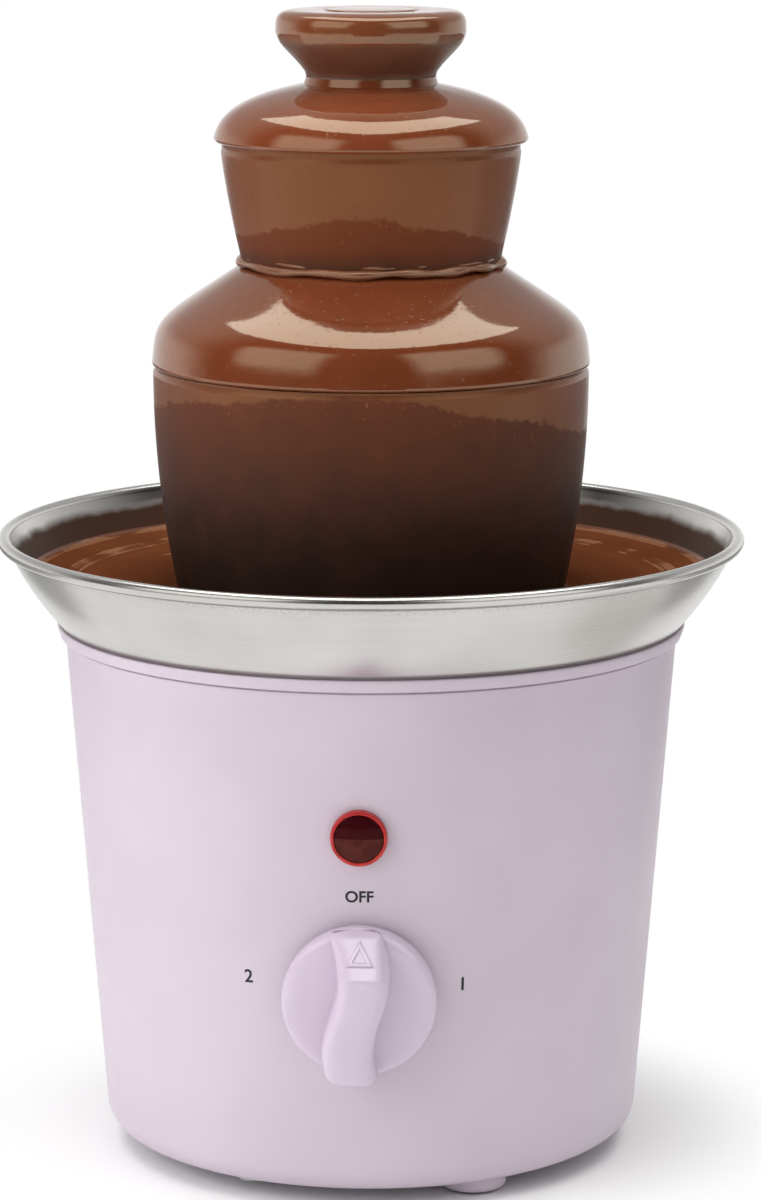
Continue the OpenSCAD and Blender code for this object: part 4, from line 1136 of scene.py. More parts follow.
@dataclass
class Tier:
    """One tier's film over its dome and the curtain that falls from its lip.

    Attributes:
        name: the tier's name.
        node: the frame's node that the film and the curtain stand for.
        start: (r, z) where the film starts, above the dome.
        dome_in_r: radius at the dome's top.
        lip_r: radius of its lip.
        lip_z: height of its lip.
        dome_h: height of the dome over its lip.
        handles: reach and rise of the dome's upper handle, then rise and lean of its lower one.
        lip_round: radius of the lip's edge.
        tuck: how far inside the lip the curtain starts.
        curtain_r: the curtain's radius at its top.
        curtain_z: height of its top.
        foot_z: height of its foot.
        draw_in: how far it draws in on its way down.
        power: how late it draws in.
        ruffle_z: height below which its folds grow.
        seed: seed of its waves, with the next three.
        film_t: thickness of the film.
        sheet_t: thickness of the curtain.
        film_wave: depth of the slow waves in the film.
        lip_wave: depth of the fine ones at its lip.
        fall_wave: depth of the slow waves in the curtain.
        ruffle: depth of the folds at its foot.
    """

    name: str
    node: str
    start: tuple[float, float]
    dome_in_r: float
    lip_r: float
    lip_z: float
    dome_h: float
    handles: tuple[float, float, float, float]
    lip_round: float
    tuck: float
    curtain_r: float
    curtain_z: float
    foot_z: float
    draw_in: float
    power: float
    ruffle_z: float
    seed: int
    film_t: float = 0.6
    sheet_t: float = 1.4
    film_wave: float = 0.035
    lip_wave: float = 0.04
    fall_wave: float = 0.06
    ruffle: float = 0.1

    def dome(self, depth: float, count: int) -> np.ndarray:
        """Cubic curve from the top of the dome to its lip.

        Args:
            depth: how far it lies inside the film's face.
            count: how many points.

        Returns:
            (r, z) rows.
        """
        reach = self.lip_r - self.dome_in_r
        out, rise, fall, lean = self.handles
        return bezier(
            (self.dome_in_r - 0.4 * depth, self.lip_z + self.dome_h - 0.9 * depth),
            (self.dome_in_r + out * reach - 0.6 * depth, self.lip_z + rise * self.dome_h - 0.9 * depth),
            (self.lip_r - lean - depth, self.lip_z + fall * self.dome_h - 0.6 * depth),
            (self.lip_r - depth, self.lip_z), count)

    def film(self) -> Skin:
        """The film: down the dome, round its lip and back along its underside.

        Returns:
            The closed skin.
        """
        start_r, start_z = self.start
        outer = joined(
            np.array([self.start]), self.dome(0, 60),
            arc((self.lip_r - self.lip_round, self.lip_z), self.lip_round, 0, -80, 8))
        inner = joined(self.dome(self.film_t, 40)[::-1], np.array([[start_r, start_z - self.film_t]]))
        return draped(outer, inner, 256, self.film_swell)

    def film_swell(self, angle: np.ndarray, along: np.ndarray) -> np.ndarray:
        """Slow waves in the film, and fine ones near its lip, that only hollow it.

        Args:
            angle: angles as a (1, steps) array.
            along: heights as a (rows, 1) array.

        Returns:
            The rise of the film's face as (rows, steps).
        """
        lip = share_of(-along, -self.lip_z - 3.0, -self.lip_z - 0.5)
        slow = Waves(self.seed, (3, 16), 0.25).at(angle, along)
        fine = Waves(self.seed + 1, (18, 46), 0.1).at(angle, along)
        return np.minimum(self.film_wave * slow - self.lip_wave * lip * (0.5 + 0.5 * fine), 0.0)

    def curtain(self) -> Skin:
        """The falling sheet: r = top r - draw-in u^p, ruffled near its foot.

        Returns:
            The closed skin.
        """
        share = np.linspace(0, 1, 70)
        fall = np.stack([self.curtain_r - self.draw_in * share ** self.power,
                         self.curtain_z + (self.foot_z - self.curtain_z) * share], axis=1)
        neck_r = self.lip_r - self.tuck
        head = bezier((neck_r, self.lip_z - 0.9), (neck_r - 0.3, self.lip_z - 1.7),
                      (self.curtain_r - 0.4, self.curtain_z + 1.4),
                      (self.curtain_r, self.curtain_z + 0.2), 12)
        outer = joined(head, fall)
        return draped(outer, outer[::-1] - np.array([self.sheet_t, 0.0]), 320, self.fall_swell)

    def fall_swell(self, angle: np.ndarray, along: np.ndarray) -> np.ndarray:
        """Slow waves in the curtain, and folds that grow towards its foot.

        Args:
            angle: angles as a (1, steps) array.
            along: heights as a (rows, 1) array.

        Returns:
            The rise of the curtain's face as (rows, steps).
        """
        low = share_of(-along, -self.ruffle_z, -self.foot_z)
        folds = Waves(self.seed + 2, (14, 44), 0.5).at(angle, along)
        slow = Waves(self.seed + 3, (3, 12), 0.06).at(angle, along)
        return self.fall_wave * slow + self.ruffle * low * (folds - 0.6)


LOWER_TIER = Tier(
    "lower", "lower_chocolate", start=(28.0, 229.2), dome_in_r=33.93, lip_r=55.8, lip_z=203.5,
    dome_h=23.98, handles=(0.974, 0.416, 0.477, 1.156), lip_round=0.7, tuck=0.7, curtain_r=55.5,
    curtain_z=200.6, foot_z=143.8, draw_in=6.1, power=2.0, ruffle_z=160.0, seed=11)
UPPER_TIER = Tier(
    "upper", "upper_chocolate", start=(16.4, 275.6), dome_in_r=17.0, lip_r=39.8, lip_z=260.3,
    dome_h=13.39, handles=(0.849, 0.737, 0.292, 1.05), lip_round=1.1, tuck=1.6, curtain_r=38.0,
    curtain_z=256.6, foot_z=228.4, draw_in=5.2, power=1.2, ruffle_z=238.0, seed=21)
# Painted shade: both curtains' stops darken from the edge down to the foot, the lower one to near black.
LOWER_FALL = Curtain(
    "lower_fall", glossy=(0.15, 0.048, 0.021), top_z=203.0, foot_z=143.8, edge_z=201.2, edge_wave=5.0,
    bow=0.0036, lean=0.05, specks=0.76, stops=(
        (0.0, (0.016, 0.01, 0.009)), (0.16, (0.019, 0.012, 0.01)), (0.36, (0.036, 0.017, 0.013)),
        (0.56, (0.064, 0.024, 0.016)), (0.78, (0.09, 0.03, 0.016)), (1.0, (0.115, 0.035, 0.018))))
UPPER_FALL = Curtain(
    "upper_fall", glossy=(0.165, 0.05, 0.021), top_z=245.0, foot_z=228.4, edge_z=242.6, edge_wave=5.0,
    bow=0.0066, lean=0.03, specks=0.8, stops=(
        (0.0, (0.05, 0.02, 0.012)), (0.14, (0.075, 0.024, 0.013)), (0.4, (0.125, 0.032, 0.013)),
        (1.0, (0.14, 0.035, 0.014))))
# Painted shade: the lower tier's film is the upper film's chocolate, toned about a tenth darker.
LOWER_FILM = Film("lower_film", (0.162, 0.038, 0.0138), (0.138, 0.032, 0.011))
UPPER_FILM = Film("chocolate_film", (0.182, 0.043, 0.0155), (0.155, 0.036, 0.0125))
# Painted shade: the crown's film is painted darker below 284.7 mm, on its shaded lower face.
CROWN_FILM = Film("crown_chocolate", (0.175, 0.05, 0.02), (0.15, 0.042, 0.016), shade_z=284.7)
LANDING_FILM = Film("landing_chocolate", (0.19, 0.066, 0.032), (0.13, 0.04, 0.017),
                    ripple=3.0, depth=0.12, gloss=0.24)


@dataclass
class Tower:
    """The chocolate on the tower: two tiers, the crown and the folds where the upper curtain lands."""

    lower: Tier
    upper: Tier
    neck_r: float = 16.4
    sleeve_r: float = 15.2
    neck_z: float = 275.8
    crown_r: float = 24.1
    rim_z: float = 287.7
    top_z: float = 292.5
    cup_r: float = 22.6
    bed_r: float = 14.2
    bed_z: float = 281.2
    well_r: float = 11.35
    well_gap: float = 0.15
    well_low: float = 280.5
    core_r: float = 7.05
    core_z: float = 284.0

    def crown(self) -> Skin:
        """The crown's film: over the rim, down to the neck and back along the dish.

        Returns:
            The closed skin.
        """
        well, face = self.well_r + self.well_gap, self.top_z - 0.3
        crown, cup, rim = self.crown_r, self.cup_r, self.rim_z
        outer = joined(
            bezier((well, self.top_z - 0.8), (well + 0.05, self.top_z - 0.4), (well + 0.6, face),
                   (crown - 5, face), 12),
            bezier((crown - 5, face), (crown - 1.6, self.top_z - 0.35), (crown, rim + 3.6),
                   (crown - 0.05, rim + 0.6), 24),
            bezier((crown, rim - 0.6), (crown, rim - 4), (self.neck_r + 3, self.neck_z + 5),
                   (self.neck_r + 0.3, self.neck_z + 1), 24),
            np.array([[self.neck_r, self.neck_z]]))
        inner = np.array([
            (self.sleeve_r + 0.1, self.neck_z), (cup - 1.4, rim - 3.7), (cup + 0.1, rim - 1.0),
            (cup + 0.1, rim + 0.1), (cup - 2.1, rim + 0.1), (self.bed_r, self.bed_z + 0.4),
            (well, self.bed_z + 0.6)])

        def swell(angle: np.ndarray, along: np.ndarray) -> np.ndarray:
            """Slow waves that only hollow the film."""
            return np.minimum(0.05 * Waves(31, (3, 14), 0.3).at(angle, along), 0.0)

        return draped(outer, inner, 224, swell)

    def fold(self, reach: float, lift: float, girth: float, seed: int) -> Skin:
        """A fold where the upper curtain lands: a thin round bead whose place and girth wander.

        Args:
            reach: radius of the ring that it makes.
            lift: its height.
            girth: half its thickness.
            seed: seed of its waves, with the next two.

        Returns:
            The closed skin.
        """
        turn, angle, still = angles(14).T, angles(320), np.zeros((1, 1))
        swell = girth * (1 + 0.3 * Waves(seed, (5, 19), 0.0).at(angle, still))
        radius = reach + 0.12 * Waves(seed + 1, (4, 13), 0.0).at(angle, still) + swell * np.cos(turn)
        height = lift + 0.22 * Waves(seed + 2, (3, 12), 0.0).at(angle, still) + 0.8 * swell * np.sin(turn)
        return grid_skin(around(radius, angle, height), True, True)

    def well(self) -> Skin:
        """The well that rises through the crown: a plug with a low round top over the screw's core.

        Returns:
            The closed skin.
        """
        edge, top = self.well_r, self.top_z
        profile = joined(
            bezier((0, top), (edge * 0.4, top), (edge * 0.8, top), (edge - 0.25, top - 0.25), 16),
            bezier((edge - 0.25, top - 0.25), (edge - 0.08, top - 0.35), (edge, top - 0.5),
                   (edge, top - 0.8), 8),
            np.array([(edge, self.well_low), (self.core_r, self.well_low), (self.core_r, self.core_z),
                      (0.0, self.core_z + 0.05)]))
        return lathe(profile, 160)

    def build(self) -> None:
        """Make the films, curtains, folds and well and dress them."""
        film = UPPER_FILM.paint()
        for tier, dress in ((self.lower, LOWER_FILM.paint()), (self.upper, film)):
            add_piece(f"{tier.name}_film", tier.film(), dress, Body.TOWER, Slot.CHOCOLATE, tier.node)
        for tier, fall in ((self.lower, LOWER_FALL), (self.upper, UPPER_FALL)):
            add_piece(f"{tier.name}_curtain", tier.curtain(), fall.paint(), Body.TOWER, Slot.CHOCOLATE)
        folds = self.fold(32.6, 230.6, 0.6, 41) + self.fold(32.9, 229.0, 1.35, 51)
        add_piece("landing_folds", folds, LANDING_FILM.paint(), Body.TOWER, Slot.CHOCOLATE)
        add_piece("crown_film", self.crown(), CROWN_FILM.paint(), Body.TOWER, Slot.CHOCOLATE,
                  "crown_chocolate")
        add_piece("well", self.well(), film, Body.AUGER, Slot.CHOCOLATE, "chocolate_well")


@dataclass
class Knob:
    """The switch's knob: a round disc with a wavy bar across it and a raised pointer."""

    height: float = 56.3
    disc_r: float = 19.0
    gap: float = 0.8
    disc_top: float = 7.2
    rise: float = 16.8
    bar_half: float = 6.5
    bar_base: float = 5.4
    bar_sink: float = 1.2
    bar_round: float = 1.8
    bar_power: float = 4.2
    crease: float = 9.4
    ramp: float = 1.14
    droop: float = 0.004
    bore_r: float = 3.0
    sway: float = 2.0
    sway_from: float = 2.0
    sway_half: float = 20.0
    lean: float = 0.6
    end_round: float = 0.45
    pointer_corners: tuple[tuple[float, float], ...] = ((0.4, 17.3), (-2.9, 12.4), (3.9, 12.4))
    pointer_inner: float = 0.52
    pointer_rise: float = 0.45

    def bar_middle(self, along: np.ndarray) -> np.ndarray:
        """Sideways place of the bar's centre line: a sine with a slight lean to the left."""
        return self.sway * np.sin(math.pi * (along + self.sway_from) / self.sway_half) - self.lean

    def bar_crest(self, along: np.ndarray) -> np.ndarray:
        """Height of the bar's ridge: it droops from the crease down, and a ramp leads to the upper end."""
        past = along - self.crease
        return self.rise - np.where(past < 0, self.droop * past ** 2, self.ramp * past)

    def bar_face(self, spots: np.ndarray) -> np.ndarray:
        """Height of the bar's face, from the same superellipse as its sections.

        Args:
            spots: (x, y) rows.

        Returns:
            The height over each spot.
        """
        x, y = spots.T
        aside = np.abs(x - self.bar_middle(y)) / self.bar_half
        bulge = (1 - aside ** self.bar_power) ** (1 / self.bar_power)
        return self.bar_base + (self.bar_crest(y) - self.bar_base) * bulge

    def disc(self) -> Skin:
        """The disc: a flat-backed dish with a round edge, bored for the shaft.

        Returns:
            The closed skin.
        """
        edge, top, bore = self.disc_r, self.disc_top, self.bore_r + 0.02
        profile = joined(
            np.array([[0.0, top]]), line((4.0, top), (edge - 3.2, top - 0.6), step=3.0),
            bezier((edge - 3.2, top - 0.6), (edge - 1.2, top - 0.9), (edge, top - 1.5),
                   (edge, top - 3.2), 12),
            line((edge, top - 3.2), (edge, self.gap + 0.5)),
            np.array([(edge - 0.5, self.gap), (bore, self.gap), (bore, top - 0.5), (0.0, top - 0.5)]))
        return lathe(profile, 144)

    def bar(self) -> Skin:
        """The bar: rounded sections lofted along the wavy line, cut at both ends by the disc's circle.

        A section is a superellipse above the disc and is sunk a little into it. Near an
        end it shrinks along a quarter circle, so that the end's edges are round.

        Returns:
            The closed skin.
        """
        rows, columns = 64, 56
        share = np.linspace(0, 1, rows)[:, None]
        girth = angles(columns)
        across = np.sign(np.cos(girth)) * np.abs(np.cos(girth)) ** (2 / self.bar_power)
        up = np.sign(np.sin(girth)) * np.abs(np.sin(girth)) ** (2 / self.bar_power)
        reach = self.disc_r + 0.1
        along = -reach + 2 * reach * share
        inset = np.clip(1 - (reach - np.abs(along)) / self.bar_round, 0, 1)
        shrink = self.bar_round * (1 - np.sqrt(1 - inset ** 2))
        half = self.bar_half - shrink
        x = self.bar_middle(along) + half * across
        end = reach - self.end_round * (reach - np.sqrt(np.maximum(reach ** 2 - x ** 2, 0)))
        y = end * (2 * share - 1)
        crest = self.bar_crest(along) - shrink - self.bar_base
        z = self.bar_base + np.where(up > 0, crest * up, self.bar_sink * up)
        points = np.stack([x + 0 * y, y, z], axis=-1)
        caps = points.mean(axis=1, keepdims=True).repeat(columns, axis=1)
        return grid_skin(np.concatenate([caps[:1], points, caps[-1:]]), False, True)

    def pointer(self) -> Skin:
        """The raised pointer: a triangle's outline that follows the bar's upper slope.

        Returns:
            The closed skin.
        """
        corners, rise, side = self.pointer_corners, self.pointer_rise, self.pointer_rise - 0.15
        outer = line(*corners, corners[0], step=0.8)[:-1]
        middle = np.mean(corners, axis=0)
        inner = middle + (outer - middle) * self.pointer_inner
        rings = [(outer, -0.5), (outer, side), (outer + (middle - outer) * 0.1, rise),
                 (inner + (outer - inner) * 0.1, rise), (inner, side), (inner, -0.5)]
        rows = [np.column_stack([ring, self.bar_face(ring) + lift]) for ring, lift in rings]
        return grid_skin(np.stack(rows), True, True)

    def build(self) -> None:
        """Make the knob and dress it."""
        skin = self.disc() + self.bar() + self.pointer()
        add_piece("knob", skin.moved(WALL.placer(self.height)), KNOB_LILAC.paint(),
                  Body.KNOB, Slot.LILAC, "control_knob")


@dataclass
class Lamp:
    """The indicator: a bright ring round a domed lens."""

    height: float = 97.1
    ring_r: float = 7.0
    ring_top: float = 2.2
    window_r: float = 6.15
    stem_r: float = 5.5
    stem_low: float = -4.4
    stem_t: float = 1.2

    def ring(self) -> Skin:
        """The ring: a flange with a round top that steps down to the lens.

        Returns:
            The closed skin.
        """
        inner, outer, top = self.window_r, self.ring_r, self.ring_top
        stem, bore = self.stem_r, self.stem_r - self.stem_t
        profile = joined(
            np.array([[inner - 0.1, top - 0.9], [inner, top - 0.3]]),
            bezier((inner, top - 0.3), (inner + 0.1, top + 0.1), (outer, top + 0.1), (outer, top - 0.8), 12),
            np.array([(outer, 0.06), (stem, 0.06), (stem, self.stem_low), (bore, self.stem_low),
                      (bore, top - 1.3)]))
        return lathe(profile, 96)

    def window(self) -> Skin:
        """The lens: a low dome inside the ring.

        Returns:
            The closed skin.
        """
        edge, top = self.window_r - 0.05, self.ring_top
        profile = joined(
            bezier((0, top + 0.7), (2.2, top + 0.7), (4.4, top + 0.3), (edge, top - 0.55), 18),
            np.array([(edge, top - 1.1), (0.0, top - 1.1)]))
        return lathe(profile, 96)

    def build(self) -> None:
        """Make the ring and the lens and dress them."""
        place = WALL.placer(self.height)
        ring = Lens("lens_ring", (0.55, 0.05, 0.045), (0.42, 0.025, 0.025), split_z=98.0, gloss=0.5)
        add_piece("lamp_ring", self.ring().moved(place), ring.paint(), Body.BASE, Slot.LENS, "lamp_lens")
        add_piece("lamp_window", self.window().moved(place), FINISHES[Slot.LENS].paint(),
                  Body.BASE, Slot.LENS)


@dataclass(frozen=True)
class Mark:
    """One printed mark on the housing: its words, bearing from the front and height."""

    name: str
    words: str
    bearing: float
    height: float
    cap: float


@dataclass
class Print:
    """The marks round the knob, printed on the wall."""

    marks: tuple[Mark, ...] = (
        Mark("mark_off", "OFF", 0.0, 81.7, 2.8),
        Mark("mark_one", "1", 20.2, 58.3, 3.3),
        Mark("mark_two", "2", -22.2, 59.5, 3.3))
    ink_t: float = 0.05
    cap_share: float = 0.7
    bold: float = 0.08

    def letters(self, mark: Mark) -> tuple[np.ndarray, list[list[int]]]:
        """Flat letters of a mark, centred on the origin.

        Args:
            mark: the mark.

        Returns:
            The (n, 3) points in millimetres and the faces.
        """
        text = bpy.data.curves.new(mark.name, "FONT")
        text.body = mark.words
        text.size = mark.cap / self.cap_share
        text.align_x = "CENTER"
        text.align_y = "CENTER"
        text.extrude = self.ink_t
        text.offset = self.bold
        holder = placed(mark.name, text)
        bpy.context.view_layer.update()
        mesh = bpy.data.meshes.new_from_object(holder)
        points = np.empty(len(mesh.vertices) * 3)
        mesh.vertices.foreach_get("co", points)
        faces = [list(face.vertices) for face in mesh.polygons]
        bpy.data.objects.remove(holder)
        bpy.data.meshes.remove(mesh)
        return points.reshape(-1, 3), faces

    def wrapped(self, mark: Mark, flat: np.ndarray) -> np.ndarray:
        """Bend flat letters round the wall: x becomes an angle, y a height and z a rise off the wall.

        Args:
            mark: the mark that they belong to.
            flat: their (n, 3) points.

        Returns:
            The bent points.
        """
        height = mark.height + flat[:, 1]
        radius = WALL.radius(height) + flat[:, 2]
        angle = math.radians(mark.bearing) + flat[:, 0] / WALL.radius(mark.height)
        return around(radius, angle, height)

    def build(self) -> None:
        """Print the marks."""
        ink = INK.paint()
        for mark in self.marks:
            flat, faces = self.letters(mark)
            piece = placed(mark.name, new_mesh(mark.name, self.wrapped(mark, flat) * MM, faces, ink))
            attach(piece, Body.BASE.value)
            log.info("%s: %d faces", mark.name, len(faces))


class Works:
    """The frame's own pieces, which keep their shape and get a finish by their slot."""

    def dress(self) -> None:
        """Give every node of the frame its finish."""
        paints = {slot.value: finish.paint() for slot, finish in FINISHES.items()}
        for part in frame["record"]["subparts"]:
            mesh = frame["nodes"][part["node"]].data
            mesh.materials.clear()
            mesh.materials.append(paints[part["material_slot"]])
            log.info("%s: %s", part["node"], part["material_slot"])


@dataclass(frozen=True)
class Softbox:
    """A soft square lamp that faces the fountain; the cards stand for it in reflections.

    Attributes:
        name: its name.
        place: its middle, in metres.
        size: its width and height, in metres.
        radiance: the light that its face gives off, where 1 is white.
        aim: the point that it faces, in metres.
    """

    name: str
    place: tuple[float, float, float]
    size: tuple[float, float]
    radiance: float
    aim: tuple[float, float, float] = (0.0, 0.0, 0.15)

    def hang(self) -> None:
        """Hang the lamp."""
        lamp = bpy.data.lights.new(self.name, "AREA")
        lamp.shape = "RECTANGLE"
        lamp.size, lamp.size_y = self.size
        lamp.energy = self.radiance * math.pi * self.size[0] * self.size[1]
        holder = placed(self.name, lamp)
        holder.location = self.place
        holder.visible_glossy = False
        holder.rotation_euler = (Vector(self.aim) - Vector(self.place)).to_track_quat("-Z", "Y").to_euler()


@dataclass
class Studio:
    """White floor, soft lamps, cards for the reflections and the camera, in metres and degrees."""

    distance: float = 1.11028
    camera_z: float = 0.35241
    pitch: float = 10.769
    bearing: float = 2.2
    lens: float = 131.66
    shift: float = 0.0079
    ambient: float = 0.4
    floor_r: float = 2.5
    floor_z: float = -0.0002
    fade_mm: tuple[float, float] = (72.0, 120.0)
    tent_r: float = 3.0
    tent_low: float = 2.0
    front_half: float = 0.55
    front_y: float = -1.6
    front_top: float = 1.2
    front_fold: tuple[float, float] = (-0.55, 2.0)
    side_corners: tuple[tuple[float, float, float], ...] = (
        (0.2, 0.1, 0.002), (1.6, 0.1, 0.002), (1.6, 1.6, 0.002), (0.5, 1.6, 0.002))
    glow_far: float = 1.3
    glow_rise: float = 25.0
    glow_z: float = 0.24
    glow_half: tuple[float, float] = (0.74, 0.6)
    shade_place: tuple[float, float, float] = (0.19, 0.03, 0.001)
    shade_half: tuple[float, float] = (0.1, 0.14)
    shine_y: float = 0.62
    shine_z: float = 1.0
    shine_in: tuple[float, float] = (0.32, 0.57)
    shine_out: tuple[float, float] = (0.6, 1.05)
    shine_level: float = 3.3

    def world(self) -> None:
        """Light the scene evenly; camera, glossy and transmission rays see white."""
        world = bpy.data.worlds.new("studio")
        bpy.context.scene.world = world
        world.use_nodes = True
        tree = world.node_tree
        tree.nodes.clear()
        out = tree.nodes.new("ShaderNodeOutputWorld")
        mix = tree.nodes.new("ShaderNodeMixShader")
        tree.links.new(self.seen(tree), mix.inputs[0])
        for number, strength in ((1, self.ambient), (2, 1.0)):
            light = tree.nodes.new("ShaderNodeBackground")
            light.inputs["Color"].default_value = (1.0, 1.0, 1.0, 1.0)
            light.inputs["Strength"].default_value = strength
            tree.links.new(light.outputs[0], mix.inputs[number])
        tree.links.new(mix.outputs[0], out.inputs["Surface"])

    @staticmethod
    def seen(tree: bpy.types.NodeTree) -> bpy.types.NodeSocket:
        """Whether a ray is a camera, glossy or transmission ray.

        Args:
            tree: the tree that gets the nodes.

        Returns:
            The socket that gives 1 for such a ray.
        """
        path = tree.nodes.new("ShaderNodeLightPath")
        total = path.outputs["Is Camera Ray"]
        for name in ("Is Glossy Ray", "Is Transmission Ray"):
            add = tree.nodes.new("ShaderNodeMath")
            add.use_clamp = True
            tree.links.new(total, add.inputs[0])
            tree.links.new(path.outputs[name], add.inputs[1])
            total = add.outputs[0]
        return total

    def floor(self) -> None:
        """A pale disc that keeps the shadow, fades to white further out and is clear from below."""
        paint = Paint("studio_floor")
        far = paint.radius().between(*self.fade_mm)
        seen = Link(paint, self.seen(paint.tree))
        near = paint.node("ShaderNodeBsdfDiffuse", inputs={"Color": (0.92, 0.92, 0.92, 1.0)})
        white = paint.node("ShaderNodeEmission", inputs={"Strength": 1.0})
        above = paint.node("ShaderNodeMixShader", inputs={0: far * seen, 1: near, 2: white})
        below = paint.node("ShaderNodeNewGeometry", output="Backfacing")
        material = paint.parted(below, above, paint.node("ShaderNodeBsdfTransparent"))
        steps = 96
        rim = around(self.floor_r, angles(steps)[0], self.floor_z)
        placed("floor", new_mesh("floor", rim, [list(range(steps))], material))

    @staticmethod
    def card(name: str, skin: Skin, material: bpy.types.Material, share: np.ndarray | None = None) -> None:
        """Set up a card that only reflections see.

        Args:
            name: its name.
            skin: its surface, in metres.
            material: its cloth.
            share: brightness of each corner, if the cloth reads it.
        """
        mesh = new_mesh(name, skin.points, skin.faces.tolist(), material)
        if share is not None:
            mesh.attributes.new("share", "FLOAT", "POINT").data.foreach_set("value", share)
        piece = placed(name, mesh)
        piece.visible_camera = False
        piece.visible_diffuse = False
        piece.visible_transmission = False
        piece.visible_shadow = False

    @staticmethod
    def cloth(name: str, deep: float, light: float) -> bpy.types.Material:
        """Matt cloth between two greys.

        Args:
            name: the material's name.
            deep: the darker grey.
            light: the lighter grey.

        Returns:
            The material.
        """
        paint = Paint(name)
        tone = paint.mix(paint.noise(4.0), (deep, deep, deep), (light, light, light))
        return paint.finish(Base_Color=tone, Roughness=0.9)

    def cards(self) -> None:
        """A dark card behind the camera and two grey ones on the floor at the rear sides."""
        half, far, top = self.front_half, self.front_y, self.front_top
        near, fold = self.front_fold
        front = Skin(np.array([(-half, far, 0.0), (half, far, 0.0), (half, far, top), (-half, far, top),
                               (half, near, fold), (-half, near, fold)]),
                     np.array([(3, 2, 1, 0), (5, 4, 2, 3)]))
        self.card("front_card", front, self.cloth("card_cloth", 0.012, 0.02))
        grey, side = self.cloth("side_cloth", 0.3, 0.34), np.array(self.side_corners)
        self.card("right_card", Skin(side, np.array([(0, 1, 2, 3)])), grey)
        self.card("left_card", Skin(side * (-1, 1, 1), np.array([(3, 2, 1, 0)])), grey)

    def soft_card(self, name: str, tones: tuple[Colour, Colour], level: float, middle: np.ndarray,
                  halves: tuple[np.ndarray, np.ndarray], count: int, fade: float) -> None:
        """A glowing card that fades with 3t^2 - 2t^3 to its edges: point (u, v) is m + u a + v b.

        Args:
            name: its name.
            tones: its colours at the edges and in the middle.
            level: its brightness.
            middle: its middle m.
            halves: the ways a and b from its middle to two of its edges.
            count: points along each side.
            fade: the share of each half over which it fades.
        """
        paint = Paint(name)
        share = paint.node("ShaderNodeAttribute", {"attribute_name": "share"}, output="Fac")
        material = paint.lit(paint.mix(share, *tones), level)
        side, up = np.meshgrid(np.linspace(-1, 1, count), np.linspace(-1, 1, count))
        points = middle + side[..., None] * halves[0] + up[..., None] * halves[1]
        edge = share_of(1 - np.abs(side), 0.0, fade) * share_of(1 - np.abs(up), 0.0, fade)
        self.card(name, grid_skin(points, False, False), material, edge.ravel())

    def glow(self, name: str, bearing: float, level: float) -> None:
        """A bright card beside the camera.

        Args:
            name: its name.
            bearing: its direction from the front, in degrees.
            level: its brightness in the middle.
        """
        turn, rise = math.radians(bearing), math.radians(self.glow_rise)
        out = np.array([math.sin(turn) * math.cos(rise), -math.cos(turn) * math.cos(rise), math.sin(rise)])
        right = np.array([math.cos(turn), math.sin(turn), 0.0])
        middle = self.glow_far * out + (0.0, 0.0, self.glow_z)
        halves = (self.glow_half[0] * right, self.glow_half[1] * np.cross(out, right))
        self.soft_card(name, ((0.01, 0.01, 0.01), (1.0, 0.98, 0.95)), level, middle, halves, 25, 0.45)

    def shade(self) -> None:
        """A grey patch on the floor at the right, white at its edges, that the bowl's outside reflects: a
        painted shadow of the fountain, seen only in reflections.
        """
        halves = (np.array([self.shade_half[0], 0.0, 0.0]), np.array([0.0, self.shade_half[1], 0.0]))
        self.soft_card("floor_shade", ((1.0, 1.0, 1.0), (0.66, 0.64, 0.63)), 1.0,
                       np.array(self.shade_place), halves, 21, 0.8)

    def horseshoe(self) -> None:
        """The shine of the overhead lamps: a level band between two half ellipses, open to the rear.

        A point is (a sin t, y - b cos t). The half axes a and b grow evenly from the inner ellipse
        to the outer one, and so does the reach of the angle t, from 68 to 90 degrees each way.
        """
        paint = Paint("overhead_shine")
        cloth = paint.mix(paint.noise(90.0), (0.97, 0.97, 0.97), (1.0, 1.0, 1.0))
        out = np.linspace(0, 1, 5)[:, None]
        turn = np.radians(68 + 22 * out) * np.linspace(-1, 1, 65)[None, :]
        wide = self.shine_in[0] + (self.shine_out[0] - self.shine_in[0]) * out
        deep = self.shine_in[1] + (self.shine_out[1] - self.shine_in[1]) * out
        points = np.stack([wide * np.sin(turn), self.shine_y - deep * np.cos(turn),
                           self.shine_z + 0 * turn], axis=-1)
        self.card("overhead_shine", grid_skin(points, False, False), paint.lit(cloth, self.shine_level))

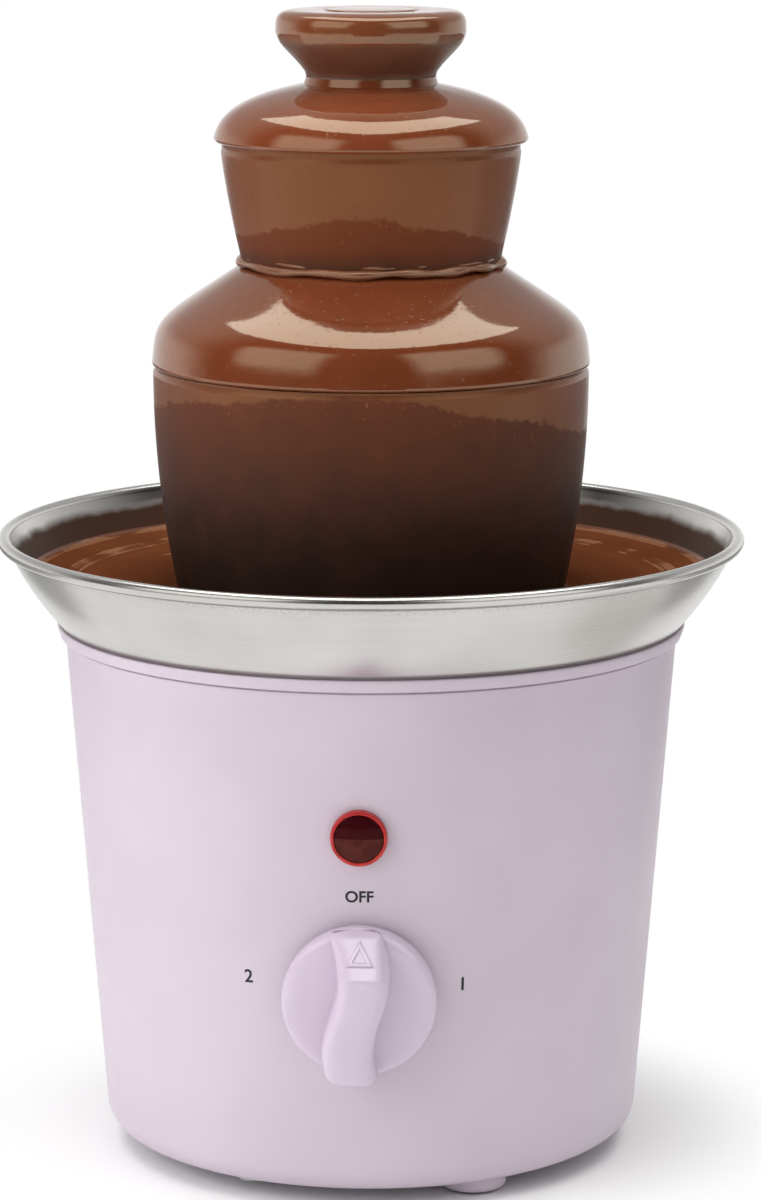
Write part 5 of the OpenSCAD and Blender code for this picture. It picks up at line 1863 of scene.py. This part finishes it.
    def tent(self) -> None:
        """A dome above the horizon, dark in front and light behind: r = R cos e, z = R sin e."""
        paint = Paint("tent_cloth")
        behind = paint.axis("Y").between(-300.0, 1500.0)
        low = 1.0 - paint.axis("Z").between(400.0, 1300.0)
        cloth = paint.mix(behind * (0.5 + 0.5 * low), (0.01, 0.01, 0.01), (1.0, 1.0, 1.0))
        rise = np.radians(np.linspace(self.tent_low, 90.0, 12))[:, None]
        points = self.tent_r * around(np.cos(rise), angles(48), np.sin(rise))
        self.card("tent", grid_skin(points, False, True), paint.lit(cloth))

    def camera(self) -> None:
        """Set the camera at the fitted distance, height and pitch."""
        camera = bpy.data.cameras.new("camera")
        camera.sensor_width = 36.0
        camera.lens = self.lens
        camera.shift_x = self.shift
        camera.clip_start = 0.05
        holder = placed("camera", camera)
        turn = math.radians(self.bearing)
        holder.location = (self.distance * math.sin(turn), -self.distance * math.cos(turn), self.camera_z)
        holder.rotation_euler = (math.radians(90 - self.pitch), 0.0, turn)
        bpy.context.scene.camera = holder

    def lights(self) -> None:
        """Hang the overhead boxes, the two side boxes and a low one at the left."""
        for name, x, y, size in (("overhead_front", 0.0, -0.225, (1.36, 0.36)),
                                 ("overhead_left", -0.495, 0.265, (0.37, 0.62)),
                                 ("overhead_right", 0.495, 0.265, (0.37, 0.62))):
            Softbox(name, (x, y, self.shine_z), size, self.shine_level, aim=(x, y, 0.0)).hang()
        Softbox("left_box", (-0.744, -0.624, 0.666), (1.2, 0.84), 0.75).hang()
        Softbox("right_box", (0.744, -0.624, 0.666), (1.2, 0.84), 0.38).hang()
        Softbox("low_left", (-0.87, -0.5, 0.5), (0.8, 0.8), 2.4).hang()

    def build(self) -> None:
        """Set up the whole studio."""
        bpy.context.scene.view_settings.view_transform = "Standard"
        self.world()
        self.floor()
        self.cards()
        self.glow("left_glow", -50.0, 1.25)
        self.glow("right_glow", 50.0, 1.25)
        self.horseshoe()
        self.shade()
        self.tent()
        self.lights()
        self.camera()


def main() -> None:
    """Build and dress the fountain, then set up the studio."""
    logging.basicConfig(level=logging.INFO, format="%(name)s: %(message)s")
    Works().dress()
    for assembly in (Housing(), Bowl(), Tower(LOWER_TIER, UPPER_TIER), Knob(), Lamp(), Print(), Studio()):
        assembly.build()


if __name__ == "__main__":
    main()
